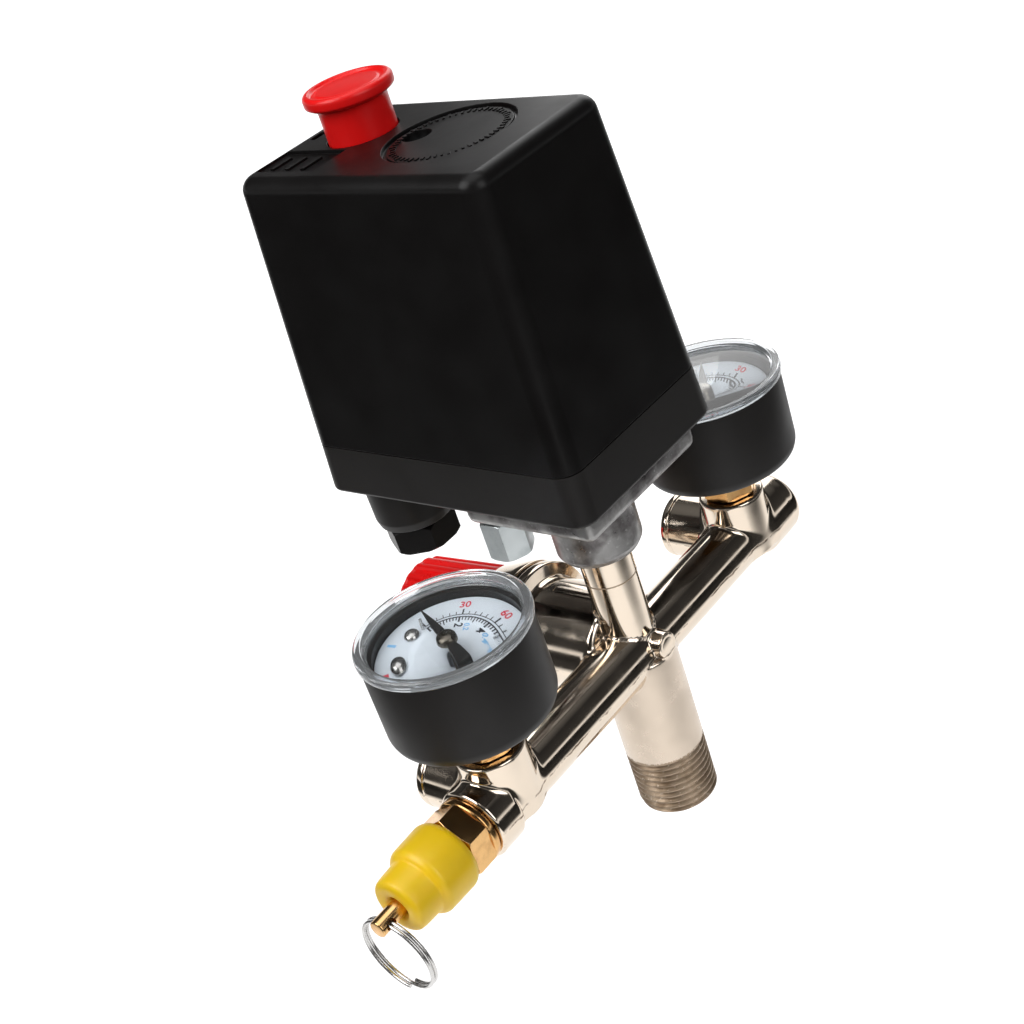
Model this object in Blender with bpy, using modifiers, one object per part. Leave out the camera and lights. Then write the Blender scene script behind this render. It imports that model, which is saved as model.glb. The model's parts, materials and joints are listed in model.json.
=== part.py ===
"""Air-compressor pressure switch on its manifold, with two gauges, a regulator and a safety valve.

The origin is the centre of the nipple's lower end. +Z runs up the pipe, +X along the manifold bar to the
safety valve, and -Y to the regulator knob. Sizes below are in millimetres and become metres in the helpers.
"""
import math

import bmesh
import bpy
from mathutils import Matrix, Vector

MM = 0.001
GAP = 0.3
OBJECT_NAME = "pressure_switch"

# Directions that a piece's own +Z can take
UP = (0.0, 0.0, 0.0)
ALONG_X = (0.0, math.pi / 2, 0.0)
ALONG_FRONT = (math.pi / 2, 0.0, 0.0)

# Manifold casting
NIPPLE_R = 10.4
NIPPLE_BORE_R = 4.2
THREAD_TOP = 17.6
THREAD_DEPTH = 1.1
THREAD_PITCH = 1.814
THREAD_TURNS = 9
SHOULDER_Z = 47.3
SHOULDER_RISE = 1.3
PIPE_R = 6.55
PIPE_TOP = 78.2
SPIGOT_R = 6.0
SPIGOT_TOP = 91.0
BAR_Y = 1.0
BAR_Z = 47.8
BAR_R = 7.45
SOCKET_R = 9.3
SOCKET_X = 67.2
DOME_X = -68.0
SUPPLY_X = 54.6
OUTLET_X = -50.7
GAUGE_BOSS_R = 8.6
GAUGE_BOSS_TOP = 61.5
STUB_R = 8.8
STUB_END = 19.5
STUB_BORE_R = 5.7
PASSAGE_R = 4.0
SOCKET_BORE_R = 6.3
PLUG_AT = (-0.9, 0.0, 49.9)
PLUG_R = 2.1
PLUG_BOSS_R = 3.3
PLUG_BOSS_Y = 10.6
HOUSING_R = 14.0
HOUSING_START = 4.0
FLANGE_R = 17.6
FLANGE_BACK = 27.0
FLANGE_FACE = 30.0
RIB_R = 0.9
RIB_END = 20.5

# Regulator, measured from the pipe's axis towards the front
CHAMBER_R = 10.0
CHAMBER_START = 20.0
POPPET_HOLE_R = 1.6
PUSH_PLATE_START = 31.6
BONNET_END = 54.0
KNOB_START = 43.2
KNOB_END = 71.3
KNOB_R = 14.1
KNOB_TIP_R = 12.9
KNOB_FLUTES = 20
SCREW_R = 2.6

# Gauges
STEM_R = 4.7
CASE_R = 20.0
CASE_BOTTOM = 71.5
CASE_TOP = 93.8
LENS_R = 20.6
LENS_TOP = 96.1
CASE_ROOM_R = 18.5
CASE_FLOOR = 73.2
LEDGE_R = 16.8
LEDGE_Z = (88.4, 92.0)
DIAL_Z = 89.6
DIAL_R = 16.4
POINTER_Z = 91.8
HUB_TOP = 93.4
POINTER_LENGTH = 13.9
SCALE_DEG = 270.0
PINION_R = 0.8
SECTOR_R = 6.4
SECTOR_Z = (81.6, 82.4)
SECTOR_PIVOT_Y = 7.5
ARBOR_HOLE_R = 0.8
FRAME_LOW = (78.7, 79.7)
FRAME_HIGH = (85.4, 86.4)
SUPPLY_ZERO_DEG = 245.0
OUTLET_ZERO_DEG = 214.0
SCREW_ARC_DEG = 22.0
SCREW_CIRCLE_R = 11.2

# Safety valve along +X
COLLAR_START = 67.5
HEX_START = 69.2
HEX_END = 75.3
HEX_R = 8.8
NECK_R = 7.0
NECK_END = 84.0
CAP_START = 75.6
CAP_STEP = 86.4
CAP_END = 94.0
CAP_R = 9.1
CAP_SMALL_R = 7.2
CAP_ROOM_R = 5.3
CAP_ROOM_END = 91.6
PIN_R = 2.1
PIN_END = 100.6
PIN_FLANGE = (78.5, 80.2)
RING_HOLE_X = 98.0
RING_R = 9.6
RING_WIRE_R = 0.45

# Switch housing, centred on HOUSING_Y
HOUSING_Y = -17.4
BASE_BOTTOM = 104.1
SEAM_Z = 116.9
COVER_TOP = 184.3
BASE_HALF = (26.5, 41.1)
SEAM_HALF = (25.8, 40.4)
TOP_HALF = (22.05, 36.8)
CORNER_R = 5.0
TOP_EDGE_R = 4.2
WALL = 2.0
STUD_AT = (-2.0, -17.3)
RECESS_AT = (-1.9, -7.4)
RECESS_R = 15.3
KNOB_AT = (-3.8, -35.6)
GLAND_AT = (12.5, -46.0)
UNLOADER_AT = (15.9, -12.5)
PLATE_LOW = (-21.0, -18.0)
PLATE_HIGH = (22.0, 20.0)
PLATE_BOTTOM = 97.0
BOSS_BOTTOM = 78.5
BOSS_R = 10.7
PIVOT_Y = 15.0
PIVOT_Z = 119.3

# name: (base colour, metallic, roughness)
FINISHES = {
    "black_plastic": ((0.018, 0.018, 0.019), 0.0, 0.42),
    "red_plastic": ((0.75, 0.02, 0.015), 0.0, 0.35),
    "yellow_plastic": ((0.86, 0.62, 0.02), 0.0, 0.4),
    "clear_plastic": ((0.85, 0.87, 0.88), 0.0, 0.08),
    "white_print": ((0.82, 0.84, 0.86), 0.0, 0.5),
    "beige_plastic": ((0.62, 0.57, 0.46), 0.0, 0.45),
    "nickel": ((0.72, 0.66, 0.58), 1.0, 0.2),
    "die_cast": ((0.55, 0.55, 0.54), 1.0, 0.5),
    "zinc": ((0.68, 0.72, 0.72), 1.0, 0.35),
    "steel": ((0.56, 0.56, 0.57), 1.0, 0.3),
    "brass": ((0.72, 0.48, 0.2), 1.0, 0.3),
    "rubber": ((0.03, 0.03, 0.03), 0.0, 0.8),
    "black_paint": ((0.02, 0.02, 0.02), 0.0, 0.5),
}


# ---------------------------------------------------------------- helpers

def clear_scene():
    for old in list(bpy.data.objects):
        bpy.data.objects.remove(old, do_unlink=True)


def new_collection(name):
    made = bpy.data.collections.new(name)
    bpy.context.scene.collection.children.link(made)
    return made


def finish_material(name):
    existing = bpy.data.materials.get(name)
    if existing:
        return existing
    colour, metallic, roughness = FINISHES[name]
    made = bpy.data.materials.new(name)
    made.use_nodes = True
    shader = made.node_tree.nodes["Principled BSDF"]
    shader.inputs["Base Color"].default_value = (*colour, 1.0)
    shader.inputs["Metallic"].default_value = metallic
    shader.inputs["Roughness"].default_value = roughness
    return made


def place(mesh, origin, rotation):
    """Puts a mesh in the scene as a tool; as_part() turns it into a sub-part."""
    obj = bpy.data.objects.new("tool", mesh)
    obj.location = Vector(origin) * MM
    obj.rotation_euler = rotation
    obj.hide_render = True
    obj.display_type = "WIRE"
    TOOLS.objects.link(obj)
    return obj


def settle(obj):
    """Makes an object's modifiers part of its mesh and shades it smooth up to its real edges."""
    bpy.context.view_layer.update()
    seen = obj.evaluated_get(bpy.context.evaluated_depsgraph_get())
    mesh = bpy.data.meshes.new_from_object(seen)
    obj.modifiers.clear()
    obj.data = mesh
    mesh.shade_smooth()
    mesh.set_sharp_from_angle(angle=math.radians(35))
    return obj


def as_part(obj, name, finish):
    TOOLS.objects.unlink(obj)
    MODEL.objects.link(obj)
    obj.name = name
    obj.data.name = name
    obj.hide_render = False
    obj.display_type = "TEXTURED"
    obj.data.materials.clear()
    obj.data.materials.append(finish_material(finish))
    return obj


def combine(obj, operation, tools, solver="EXACT"):
    for tool in tools:
        step = obj.modifiers.new(operation.lower(), "BOOLEAN")
        step.operation = operation
        step.solver = solver
        step.object = tool
    return settle(obj)


def cut(obj, *tools, solver="EXACT"):
    return combine(obj, "DIFFERENCE", tools, solver)


def fuse(obj, *tools):
    return combine(obj, "UNION", tools)


def turned(profile, origin=(0, 0, 0), rotation=UP, steps=24, ring=False):
    """A turned shape. The profile is (radius, height) pairs that run down the outer side."""
    shape = bmesh.new()
    points = [shape.verts.new((radius * MM, 0, height * MM)) for radius, height in profile]
    for first, second in zip(points, points[1:]):
        shape.edges.new((first, second))
    if ring:
        shape.edges.new((points[-1], points[0]))
    mesh = bpy.data.meshes.new("turned")
    shape.to_mesh(mesh)
    shape.free()
    obj = place(mesh, origin, rotation)
    screw = obj.modifiers.new("turn", "SCREW")
    screw.steps = steps
    screw.render_steps = steps
    screw.use_merge_vertices = True
    screw.merge_threshold = 0.00001
    return settle(obj)


def rod(radius, low, high, origin=(0, 0, 0), rotation=UP, steps=16, top_radius=None):
    """A cylinder, cone or prism from low to high along its own axis."""
    shape = bmesh.new()
    upper = radius if top_radius is None else top_radius
    bmesh.ops.create_cone(
        shape, cap_ends=True, segments=steps, radius1=radius * MM, radius2=upper * MM,
        depth=(high - low) * MM, matrix=Matrix.Translation((0, 0, (low + high) / 2 * MM)))
    mesh = bpy.data.meshes.new("rod")
    shape.to_mesh(mesh)
    shape.free()
    return settle(place(mesh, origin, rotation))


def box(low, high, origin=(0, 0, 0), rotation=UP, round_r=0.0):
    """A box between two corners given relative to its origin."""
    size = [(b - a) * MM for a, b in zip(low, high)]
    middle = [(a + b) / 2 * MM for a, b in zip(low, high)]
    shape = bmesh.new()
    bmesh.ops.create_cube(shape, size=1.0, matrix=Matrix.Translation(middle) @ Matrix.Diagonal((*size, 1)))
    if round_r:
        bmesh.ops.bevel(shape, geom=shape.edges[:], offset=round_r * MM, segments=2, profile=0.5,
                        affect="EDGES")
    mesh = bpy.data.meshes.new("box")
    shape.to_mesh(mesh)
    shape.free()
    return settle(place(mesh, origin, rotation))


def tapered_block(low_half, high_half, low, high, corner, top_edge=0.0):
    """A box with rounded upright corners that leans in towards its top, centred on the housing."""
    shape = bmesh.new()
    bmesh.ops.create_cube(shape, size=2.0)
    for vert in shape.verts:
        half = high_half if vert.co.z > 0 else low_half
        height = high if vert.co.z > 0 else low
        vert.co = (vert.co.x * half[0] * MM, vert.co.y * half[1] * MM, height * MM)
    upright = [edge for edge in shape.edges if abs(edge.verts[0].co.z - edge.verts[1].co.z) > MM]
    bmesh.ops.bevel(shape, geom=upright, offset=corner * MM, segments=3, profile=0.5, affect="EDGES")
    if top_edge:
        rim = [edge for edge in shape.edges if min(v.co.z for v in edge.verts) > (high - 0.1) * MM]
        bmesh.ops.bevel(shape, geom=rim, offset=top_edge * MM, segments=3, profile=0.5, affect="EDGES")
    bmesh.ops.recalc_face_normals(shape, faces=shape.faces[:])
    mesh = bpy.data.meshes.new("tapered_block")
    shape.to_mesh(mesh)
    shape.free()
    return settle(place(mesh, (0, HOUSING_Y, 0), UP))


def wire(points, radius, origin=(0, 0, 0), rotation=UP, sides=1):
    """A round wire through points, closed at both ends, as one welded mesh; sides 0 makes it square."""
    curve = bpy.data.curves.new("wire", "CURVE")
    curve.dimensions = "3D"
    curve.bevel_depth = radius * MM
    curve.bevel_resolution = sides
    curve.use_fill_caps = True
    spline = curve.splines.new("POLY")
    spline.points.add(len(points) - 1)
    for point, (x, y, z) in zip(spline.points, points):
        point.co = (x * MM, y * MM, z * MM, 1)
    source = bpy.data.objects.new("wire", curve)
    TOOLS.objects.link(source)
    bpy.context.view_layer.update()
    mesh = bpy.data.meshes.new_from_object(source.evaluated_get(bpy.context.evaluated_depsgraph_get()))
    bpy.data.objects.remove(source, do_unlink=True)
    shape = bmesh.new()
    shape.from_mesh(mesh)
    bmesh.ops.remove_doubles(shape, verts=shape.verts[:], dist=0.00001)
    bmesh.ops.recalc_face_normals(shape, faces=shape.faces[:])
    shape.to_mesh(mesh)
    shape.free()
    return settle(place(mesh, origin, rotation))


def coil(radius, wire_r, turns, low, high, origin, rotation=UP, per_turn=8):
    count = int(turns * per_turn)
    points = []
    for i in range(count + 1):
        angle = 2 * math.pi * i / per_turn
        height = low + wire_r + (high - low - 2 * wire_r) * i / count
        points.append((radius * math.cos(angle), radius * math.sin(angle), height))
    return wire(points, wire_r, origin, rotation, sides=0)


def turn_mesh(obj, degrees):
    """Turns a piece about its own upright axis."""
    obj.data.transform(Matrix.Rotation(math.radians(degrees), 4, "Z"))


def polar(radius, degrees):
    angle = math.radians(degrees)
    return (radius * math.cos(angle), radius * math.sin(angle))


# ---------------------------------------------------------------- manifold

def threaded_end(radius, depth, pitch, turns, top):
    """Rounded thread ridges as rings, from top down."""
    points = []
    for turn in range(turns):
        crest = top - turn * pitch
        points += [(radius, crest), (radius - depth, crest - pitch * 0.5)]
    points.append((radius, top - turns * pitch))
    return points


def manifold():
    outline = [(0, SPIGOT_TOP), (SPIGOT_R, SPIGOT_TOP), (SPIGOT_R, PIPE_TOP), (PIPE_R, PIPE_TOP),
               (PIPE_R, SHOULDER_Z + SHOULDER_RISE), (NIPPLE_R, SHOULDER_Z)]
    outline += threaded_end(NIPPLE_R, THREAD_DEPTH, THREAD_PITCH, THREAD_TURNS, THREAD_TOP)
    outline += [(NIPPLE_R - THREAD_DEPTH, 0), (0, 0)]
    body = as_part(turned(outline), "manifold_body", "nickel")
    line = (0, BAR_Y, BAR_Z)
    axis = (0, 0, BAR_Z)
    bar = turned([(0, SOCKET_X), (SOCKET_R - 0.8, SOCKET_X), (SOCKET_R, SOCKET_X - 0.8), (SOCKET_R, 61),
                  (BAR_R, 57.5), (BAR_R, -52), (9.3, -57), (9.3, -63), (8.0, -66.2), (5.0, -67.6),
                  (0, DOME_X)], line, ALONG_X)
    housing = turned([(0, FLANGE_FACE), (FLANGE_R, FLANGE_FACE), (FLANGE_R, FLANGE_BACK),
                      (HOUSING_R, FLANGE_BACK - 1), (HOUSING_R, HOUSING_START), (0, HOUSING_START)],
                     axis, ALONG_FRONT)
    rib = rod(RIB_R, HOUSING_START + 1, RIB_END, (0, 0, BAR_Z + HOUSING_R - 0.2), ALONG_FRONT, steps=12)
    pieces = [bar, housing, rib, rod(PLUG_BOSS_R, -PLUG_BOSS_Y, 0, PLUG_AT, ALONG_FRONT)]
    for x in (SUPPLY_X, OUTLET_X):
        pieces.append(rod(GAUGE_BOSS_R, BAR_Z + 0.7, GAUGE_BOSS_TOP, (x, BAR_Y, 0), steps=24))
        pieces.append(rod(STUB_R, -BAR_Y, STUB_END, (x, 0, BAR_Z), ALONG_FRONT, steps=24))
    fuse(body, *pieces)
    cut(body, *manifold_bores(line, axis), solver="MANIFOLD")   # EXACT leaves slits where the bores meet


def manifold_bores(line, axis):
    """The nipple's bore, the two halves of the bar, the regulator's chamber and the threaded ports."""
    bores = [
        rod(NIPPLE_BORE_R, -1, SPIGOT_TOP + 1),
        rod(PASSAGE_R, 0, SOCKET_X + 1, line, ALONG_X),
        rod(SOCKET_BORE_R, 57.5, SOCKET_X + 1, line, ALONG_X),
        rod(PASSAGE_R, OUTLET_X - 8, -8, line, ALONG_X),
        rod(PLUG_R + GAP, -PLUG_BOSS_Y - 1, 0, PLUG_AT, ALONG_FRONT),
        rod(CHAMBER_R, CHAMBER_START, FLANGE_FACE + 1, axis, ALONG_FRONT),
        rod(POPPET_HOLE_R, 0, CHAMBER_START + 1, axis, ALONG_FRONT, steps=12),
        passage_drill(),
    ]
    for x in (SUPPLY_X, OUTLET_X):
        bores.append(rod(STEM_R + GAP, BAR_Z + 1.3, GAUGE_BOSS_TOP + 1, (x, BAR_Y, 0)))
        bores.append(rod(STUB_BORE_R, -1.7, STUB_END + 1, (x, 0, BAR_Z), ALONG_FRONT))
    return bores


def passage_drill():
    """The slanted hole that joins the regulator's outlet chamber to the outlet side of the bar."""
    start = Vector((-7.5, -26.0, BAR_Z))
    end = Vector((-12.5, BAR_Y, BAR_Z))
    drill = rod(1.4, 0, (end - start).length, start, steps=12)
    drill.rotation_euler = (end - start).to_track_quat("Z", "Y").to_euler()
    bpy.context.view_layer.update()
    return drill


# ---------------------------------------------------------------- regulator

def regulator_valve():
    as_part(rod(PLUG_R, -PLUG_BOSS_Y, -4.9, PLUG_AT, ALONG_FRONT), "regulator_valve_plug", "nickel")
    axis = (0, 0, BAR_Z)
    poppet = turned([(0, 29.8), (1.2, 29.8), (1.2, 3.2), (2.2, 3.2), (2.2, 1.0), (0, 1.0)], axis, ALONG_FRONT,
                    steps=16)
    as_part(poppet, "regulator_poppet", "brass")


def regulator():
    axis = (0, 0, BAR_Z)
    regulator_valve()
    face = FLANGE_FACE + GAP
    as_part(rod(16.4, face, face + 1, axis, ALONG_FRONT), "regulator_diaphragm", "rubber")
    plate = turned([(0, 34.6), (3.6, 34.6), (3.6, 33.2), (8.0, 33.2), (8.0, PUSH_PLATE_START),
                    (0, PUSH_PLATE_START)], axis, ALONG_FRONT)
    as_part(plate, "regulator_diaphragm_plate", "steel")
    bonnet = turned([(3.4, BONNET_END), (9.2, BONNET_END), (9.2, 42.4), (15.0, 42.4), (17.4, 33.4),
                     (17.4, 31.6), (12.0, 31.6), (12.0, 38.0), (7.6, 41.0), (7.6, 51.8), (3.4, 51.8)],
                    axis, ALONG_FRONT, ring=True)
    as_part(bonnet, "regulator_bonnet", "nickel")
    as_part(coil(5.2, 0.8, 5.5, 33.5, 44.7, axis, ALONG_FRONT), "regulator_spring", "steel")
    nut = as_part(rod(7.1, 45.0, 48.5, axis, ALONG_FRONT, steps=6), "regulator_spring_nut", "zinc")
    cut(nut, rod(SCREW_R + GAP, 44, 50, axis, ALONG_FRONT))
    as_part(rod(SCREW_R, 38, 66, axis, ALONG_FRONT), "regulator_screw", "zinc")
    regulator_knob(axis)


def regulator_knob(axis):
    knob = rod(KNOB_R, KNOB_START, KNOB_END, axis, ALONG_FRONT, steps=KNOB_FLUTES * 2, top_radius=KNOB_TIP_R)
    for vert in knob.data.vertices:
        turn = math.atan2(vert.co.y, vert.co.x)
        ridge = 1 - 0.025 + 0.025 * math.cos(KNOB_FLUTES * turn)
        vert.co.x *= ridge
        vert.co.y *= ridge
    knob = as_part(knob, "regulator_knob", "red_plastic")
    cut(knob, rod(10.2, KNOB_START - 1, BONNET_END + 1.5, axis, ALONG_FRONT),
        rod(SCREW_R + GAP, 50, 66.5, axis, ALONG_FRONT))


# ---------------------------------------------------------------- gauges

def gauge(prefix, x, zero_deg):
    at = (x, BAR_Y, 0)
    case = turned([(CASE_ROOM_R, CASE_TOP), (CASE_R, CASE_TOP), (CASE_R, 73.6), (19.3, 72.1),
                   (17.6, CASE_BOTTOM), (5.3, CASE_BOTTOM), (5.3, CASE_FLOOR), (CASE_ROOM_R, CASE_FLOOR),
                   (CASE_ROOM_R, LEDGE_Z[0]), (LEDGE_R, LEDGE_Z[0]), (LEDGE_R, LEDGE_Z[1]),
                   (CASE_ROOM_R, LEDGE_Z[1])], at, steps=32, ring=True)
    as_part(case, prefix + "_case", "black_plastic")
    lens = turned([(0, 95.2), (18.3, 95.2), (18.9, LENS_TOP), (20.2, LENS_TOP), (LENS_R, 95.6),
                   (LENS_R, CASE_TOP + GAP), (18.2, CASE_TOP + GAP), (18.2, 92.4), (17.4, 92.4), (17.4, 93.7),
                   (0, 93.7)], at, steps=24)
    as_part(lens, prefix + "_lens", "clear_plastic")
    gauge_dial(prefix, at, zero_deg)
    gauge_movement(prefix, at)
    gauge_pointer(prefix, at, zero_deg)


def gauge_dial(prefix, at, zero_deg):
    dial = as_part(rod(DIAL_R, DIAL_Z - 0.6, DIAL_Z, at, steps=24), prefix + "_dial", "white_print")
    gap_middle = zero_deg + 45
    stop = polar(10.6, zero_deg + 9)
    pin = rod(0.35, DIAL_Z - 0.3, DIAL_Z + 2.8, (at[0] + stop[0], at[1] + stop[1], 0), steps=8)
    holes = [rod(1.3, DIAL_Z - 1, DIAL_Z + 1, at)]
    for side, letter in ((-1, "a"), (1, "b")):
        spot = polar(SCREW_CIRCLE_R, gap_middle + side * SCREW_ARC_DEG)
        place_at = (at[0] + spot[0], at[1] + spot[1], 0)
        holes.append(rod(0.9, DIAL_Z - 1, DIAL_Z + 1, place_at, steps=12))
        screw = turned([(0, DIAL_Z + 1.1), (1.1, DIAL_Z + 0.95), (1.8, DIAL_Z + 0.3), (0.6, DIAL_Z + 0.3),
                        (0.6, DIAL_Z - 2.2), (0, DIAL_Z - 2.2)], place_at, steps=16)
        as_part(screw, f"{prefix}_dial_screw_{letter}", "steel")
    fuse(dial, pin)
    cut(dial, *holes)


def gauge_movement(prefix, at):
    """Stem, bourdon tube, frame and sector, which turn the tube's flex into the pointer's turn."""
    stem = rod(STEM_R, 55.5, 64.6, at)
    fuse(stem, rod(7.2, GAUGE_BOSS_TOP + GAP, CASE_BOTTOM - GAP, at, steps=6), rod(4.9, 70, 76.5, at),
         box((-3, -9, 73.5), (3, -1.5, 78.3), at))
    cut(stem, rod(1.2, 55, 77.5, at, steps=12))
    as_part(stem, prefix + "_stem", "brass")
    arc = [(*polar(13.2, angle), 77.5) for angle in range(-72, 193, 12)]
    foot = (0.2, -11.2, 77.5)
    as_part(wire([foot] + arc, 1.3, at), prefix + "_bourdon_tube", "brass")
    low, high = FRAME_LOW, FRAME_HIGH
    frame = box((-7, -4, high[0]), (7, 4, high[1]), at)
    for x in (-5.6, 5.6):
        fuse(frame, rod(0.9, low[0] + 0.2, high[1] - 0.5, (at[0] + x, at[1], 0), steps=10))
    fuse(frame, box((-7, -4, low[0]), (7, 4, low[1]), at))
    sector_at = (at[0], at[1] + SECTOR_PIVOT_Y, 0)
    cut(frame, rod(ARBOR_HOLE_R, low[0] - 1, high[1] + 1, at, steps=12))
    fuse(frame, *(box((-1.4, 3.5, plate[0]), (1.4, 9.5, plate[1]), at) for plate in (low, high)))
    cut(frame, rod(ARBOR_HOLE_R, low[0] - 1, high[1] + 1, sector_at, steps=12))
    as_part(frame, prefix + "_movement", "brass")
    sector(prefix, sector_at)


def sector(prefix, sector_at):
    """A toothed sector that swings about its own arbor and drives the pinion on the pointer's arbor.

    It is turned back by half its swing, so that it passes the middle at half scale.
    """
    low, high = SECTOR_Z
    plate = rod(0.5, FRAME_LOW[0] - GAP, FRAME_HIGH[1] + 0.4, sector_at, steps=10)
    toothed = rod(SECTOR_R, low, high, sector_at, steps=32)
    cut(toothed, box((-7, -2.2, low - 1), (7, 7, high + 1), sector_at),
        box((-7, -7, low - 1), (-3.0, 1, high + 1), sector_at),
        box((3.0, -7, low - 1), (7, 1, high + 1), sector_at))
    fuse(plate, toothed, box((-1.3, -2.6, low), (1.3, 1.0, high), sector_at))
    turn_mesh(plate, -SCALE_DEG * PINION_R / SECTOR_R / 2)
    as_part(plate, prefix + "_sector", "brass")


def gauge_pointer(prefix, at, zero_deg):
    """Pointer, hub, arbor and pinion, made pointing along +X and then turned to the dial's zero."""
    low = POINTER_Z
    tail = box((-8.0, -1.5, low), (0, 1.5, low + 0.5), at)
    tip = rod(0.95, 0, POINTER_LENGTH, (at[0], at[1], low + 0.25), ALONG_X, steps=4, top_radius=0.15)
    pinion_low, pinion_high = SECTOR_Z[0] - 0.8, SECTOR_Z[1] + 1.2
    end = FRAME_LOW[0] - 0.9
    arbor = turned([(0, HUB_TOP), (1.6, HUB_TOP), (2.3, HUB_TOP - 0.7), (2.3, low - 0.2), (0.5, low - 0.2),
                    (0.5, pinion_high), (PINION_R, pinion_high), (PINION_R, pinion_low), (0.5, pinion_low),
                    (0.5, end), (0, end)], at, steps=16)
    fuse(arbor, tail, tip)
    turn_mesh(arbor, zero_deg)
    as_part(arbor, prefix + "_pointer", "black_paint")


# ---------------------------------------------------------------- safety valve

def safety_valve():
    line = (0, BAR_Y, BAR_Z)
    body = rod(SOCKET_BORE_R - GAP, 58.2, COLLAR_START + 0.5, line, ALONG_X)
    hexagon = rod(HEX_R, HEX_START - 0.5, HEX_END, line, ALONG_X, steps=6)
    turn_mesh(hexagon, 30)
    fuse(body, rod(HEX_R - 0.3, COLLAR_START, HEX_START, line, ALONG_X, steps=24), hexagon,
         rod(NECK_R, HEX_END - 1, NECK_END, line, ALONG_X))
    cut(body, rod(2.2, 57, 77, line, ALONG_X), rod(4.8, 76.6, NECK_END + 1, line, ALONG_X))
    as_part(body, "relief_body", "brass")
    hole_r = PIN_R + 0.5
    cap = turned([(hole_r, CAP_END), (5.6, CAP_END), (CAP_SMALL_R - 0.3, CAP_END - 0.8),
                  (CAP_SMALL_R, CAP_END - 1.8), (CAP_SMALL_R, CAP_STEP), (CAP_R - 0.9, CAP_STEP),
                  (CAP_R, CAP_STEP - 1), (CAP_R, CAP_START + 1.4), (CAP_R - 1, CAP_START),
                  (NECK_R + GAP, CAP_START),
                  (NECK_R + GAP, NECK_END + 0.4), (CAP_ROOM_R, NECK_END + 0.4), (CAP_ROOM_R, CAP_ROOM_END),
                  (hole_r, CAP_ROOM_END)], line, ALONG_X, ring=True)
    as_part(cap, "relief_cap", "yellow_plastic")
    as_part(rod(3.4, 76.9, 78.2, line, ALONG_X), "relief_seal", "rubber")
    stem = turned([(0, PIN_END), (PIN_R - 0.3, PIN_END), (PIN_R, PIN_END - 0.3), (PIN_R, PIN_FLANGE[1]),
                   (4.3, PIN_FLANGE[1]), (4.3, PIN_FLANGE[0]), (0, PIN_FLANGE[0])], line, ALONG_X, steps=16)
    cut(stem, rod(1.35, -5, 5, (RING_HOLE_X, BAR_Y, BAR_Z), ALONG_FRONT))
    as_part(stem, "relief_pull_pin", "brass")
    spring = coil(3.3, 0.5, 5, PIN_FLANGE[1] + GAP, CAP_ROOM_END - GAP, line, ALONG_X)
    as_part(spring, "relief_spring", "steel")
    split_ring()


def split_ring():
    """Two turns of wire that start and end at the bottom, hung through the pin's cross hole."""
    per_turn = 16
    turns = 2
    points = []
    for i in range(turns * per_turn + 1):
        angle = 2 * math.pi * i / per_turn - math.pi / 2
        shift = (i / per_turn - 1) * 1.05
        points.append((shift, RING_R * math.cos(angle), RING_R * math.sin(angle) - RING_R))
    ring = wire(points, RING_WIRE_R, (RING_HOLE_X, BAR_Y, BAR_Z), sides=0)
    as_part(ring, "relief_ring", "steel")


# ---------------------------------------------------------------- switch housing

def base_housing():
    base = tapered_block(BASE_HALF, SEAM_HALF, BASE_BOTTOM, SEAM_Z, CORNER_R)
    fuse(base, rod(10.4, 90.3, BASE_BOTTOM + 1, (*GLAND_AT, 0), steps=24), rod(7.1, 86.2, 91, (*GLAND_AT, 0)))
    inner = tapered_block([h - WALL for h in BASE_HALF], [h - WALL for h in SEAM_HALF],
                          BASE_BOTTOM + WALL, SEAM_Z + 1, CORNER_R - WALL)
    cut(base, inner, rod(17.4, 100, 110, steps=24), rod(2.2, 100, 110, (*UNLOADER_AT, 0), steps=12),
        rod(6.0, 85, 110, (*GLAND_AT, 0)))
    as_part(base, "base_housing", "black_plastic")


def cover():
    low = SEAM_Z + GAP
    shell = tapered_block(SEAM_HALF, TOP_HALF, low, COVER_TOP, CORNER_R, TOP_EDGE_R)
    inner = tapered_block([h - WALL for h in SEAM_HALF], [h - WALL for h in TOP_HALF], low - 1,
                          COVER_TOP - WALL, CORNER_R - WALL)
    top = COVER_TOP
    well = (*STUD_AT, 0)
    cut(shell, inner, rod(RECESS_R, top - 0.8, top + 1, (*RECESS_AT, 0), steps=24),
        box((3.8, -52.0, top - 0.9), (16.6, -32.2, top + 1)),
        box((-4.6, -50.4, top - 1.2), (-0.4, -48.4, top + 1)),
        rod(8.6, top - 4, top + 1, (*KNOB_AT, 0), steps=24))
    fuse(shell, rod(5.2, top - 7.5, top - 1.5, well))
    cut(shell, rod(3.4, top - 5.5, top + 1, well), rod(2.2, top - 9, top, well))
    as_part(shell, "cover", "black_plastic")
    screw = turned([(0, 181.6), (2.2, 181.6), (3.0, 181.0), (3.0, 179.1), (1.6, 179.1), (1.6, 163), (0, 163)],
                   well, steps=16)
    cut(screw, box((-2.4, -0.35, 180.6), (2.4, 0.35, 182), well))
    as_part(screw, "cover_screw", "zinc")


def power_knob():
    at = (*KNOB_AT, 0)
    knob = turned([(0, 195.4), (8.7, 195.4), (9.0, 196.0), (10.1, 196.0), (10.6, 195.4), (10.6, 193.6),
                   (9.6, 192.9), (8.2, 192.6), (8.2, 176), (3.5, 175), (3.5, 131), (0, 131)], at, steps=24)
    as_part(knob, "power_knob", "red_plastic")


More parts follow.
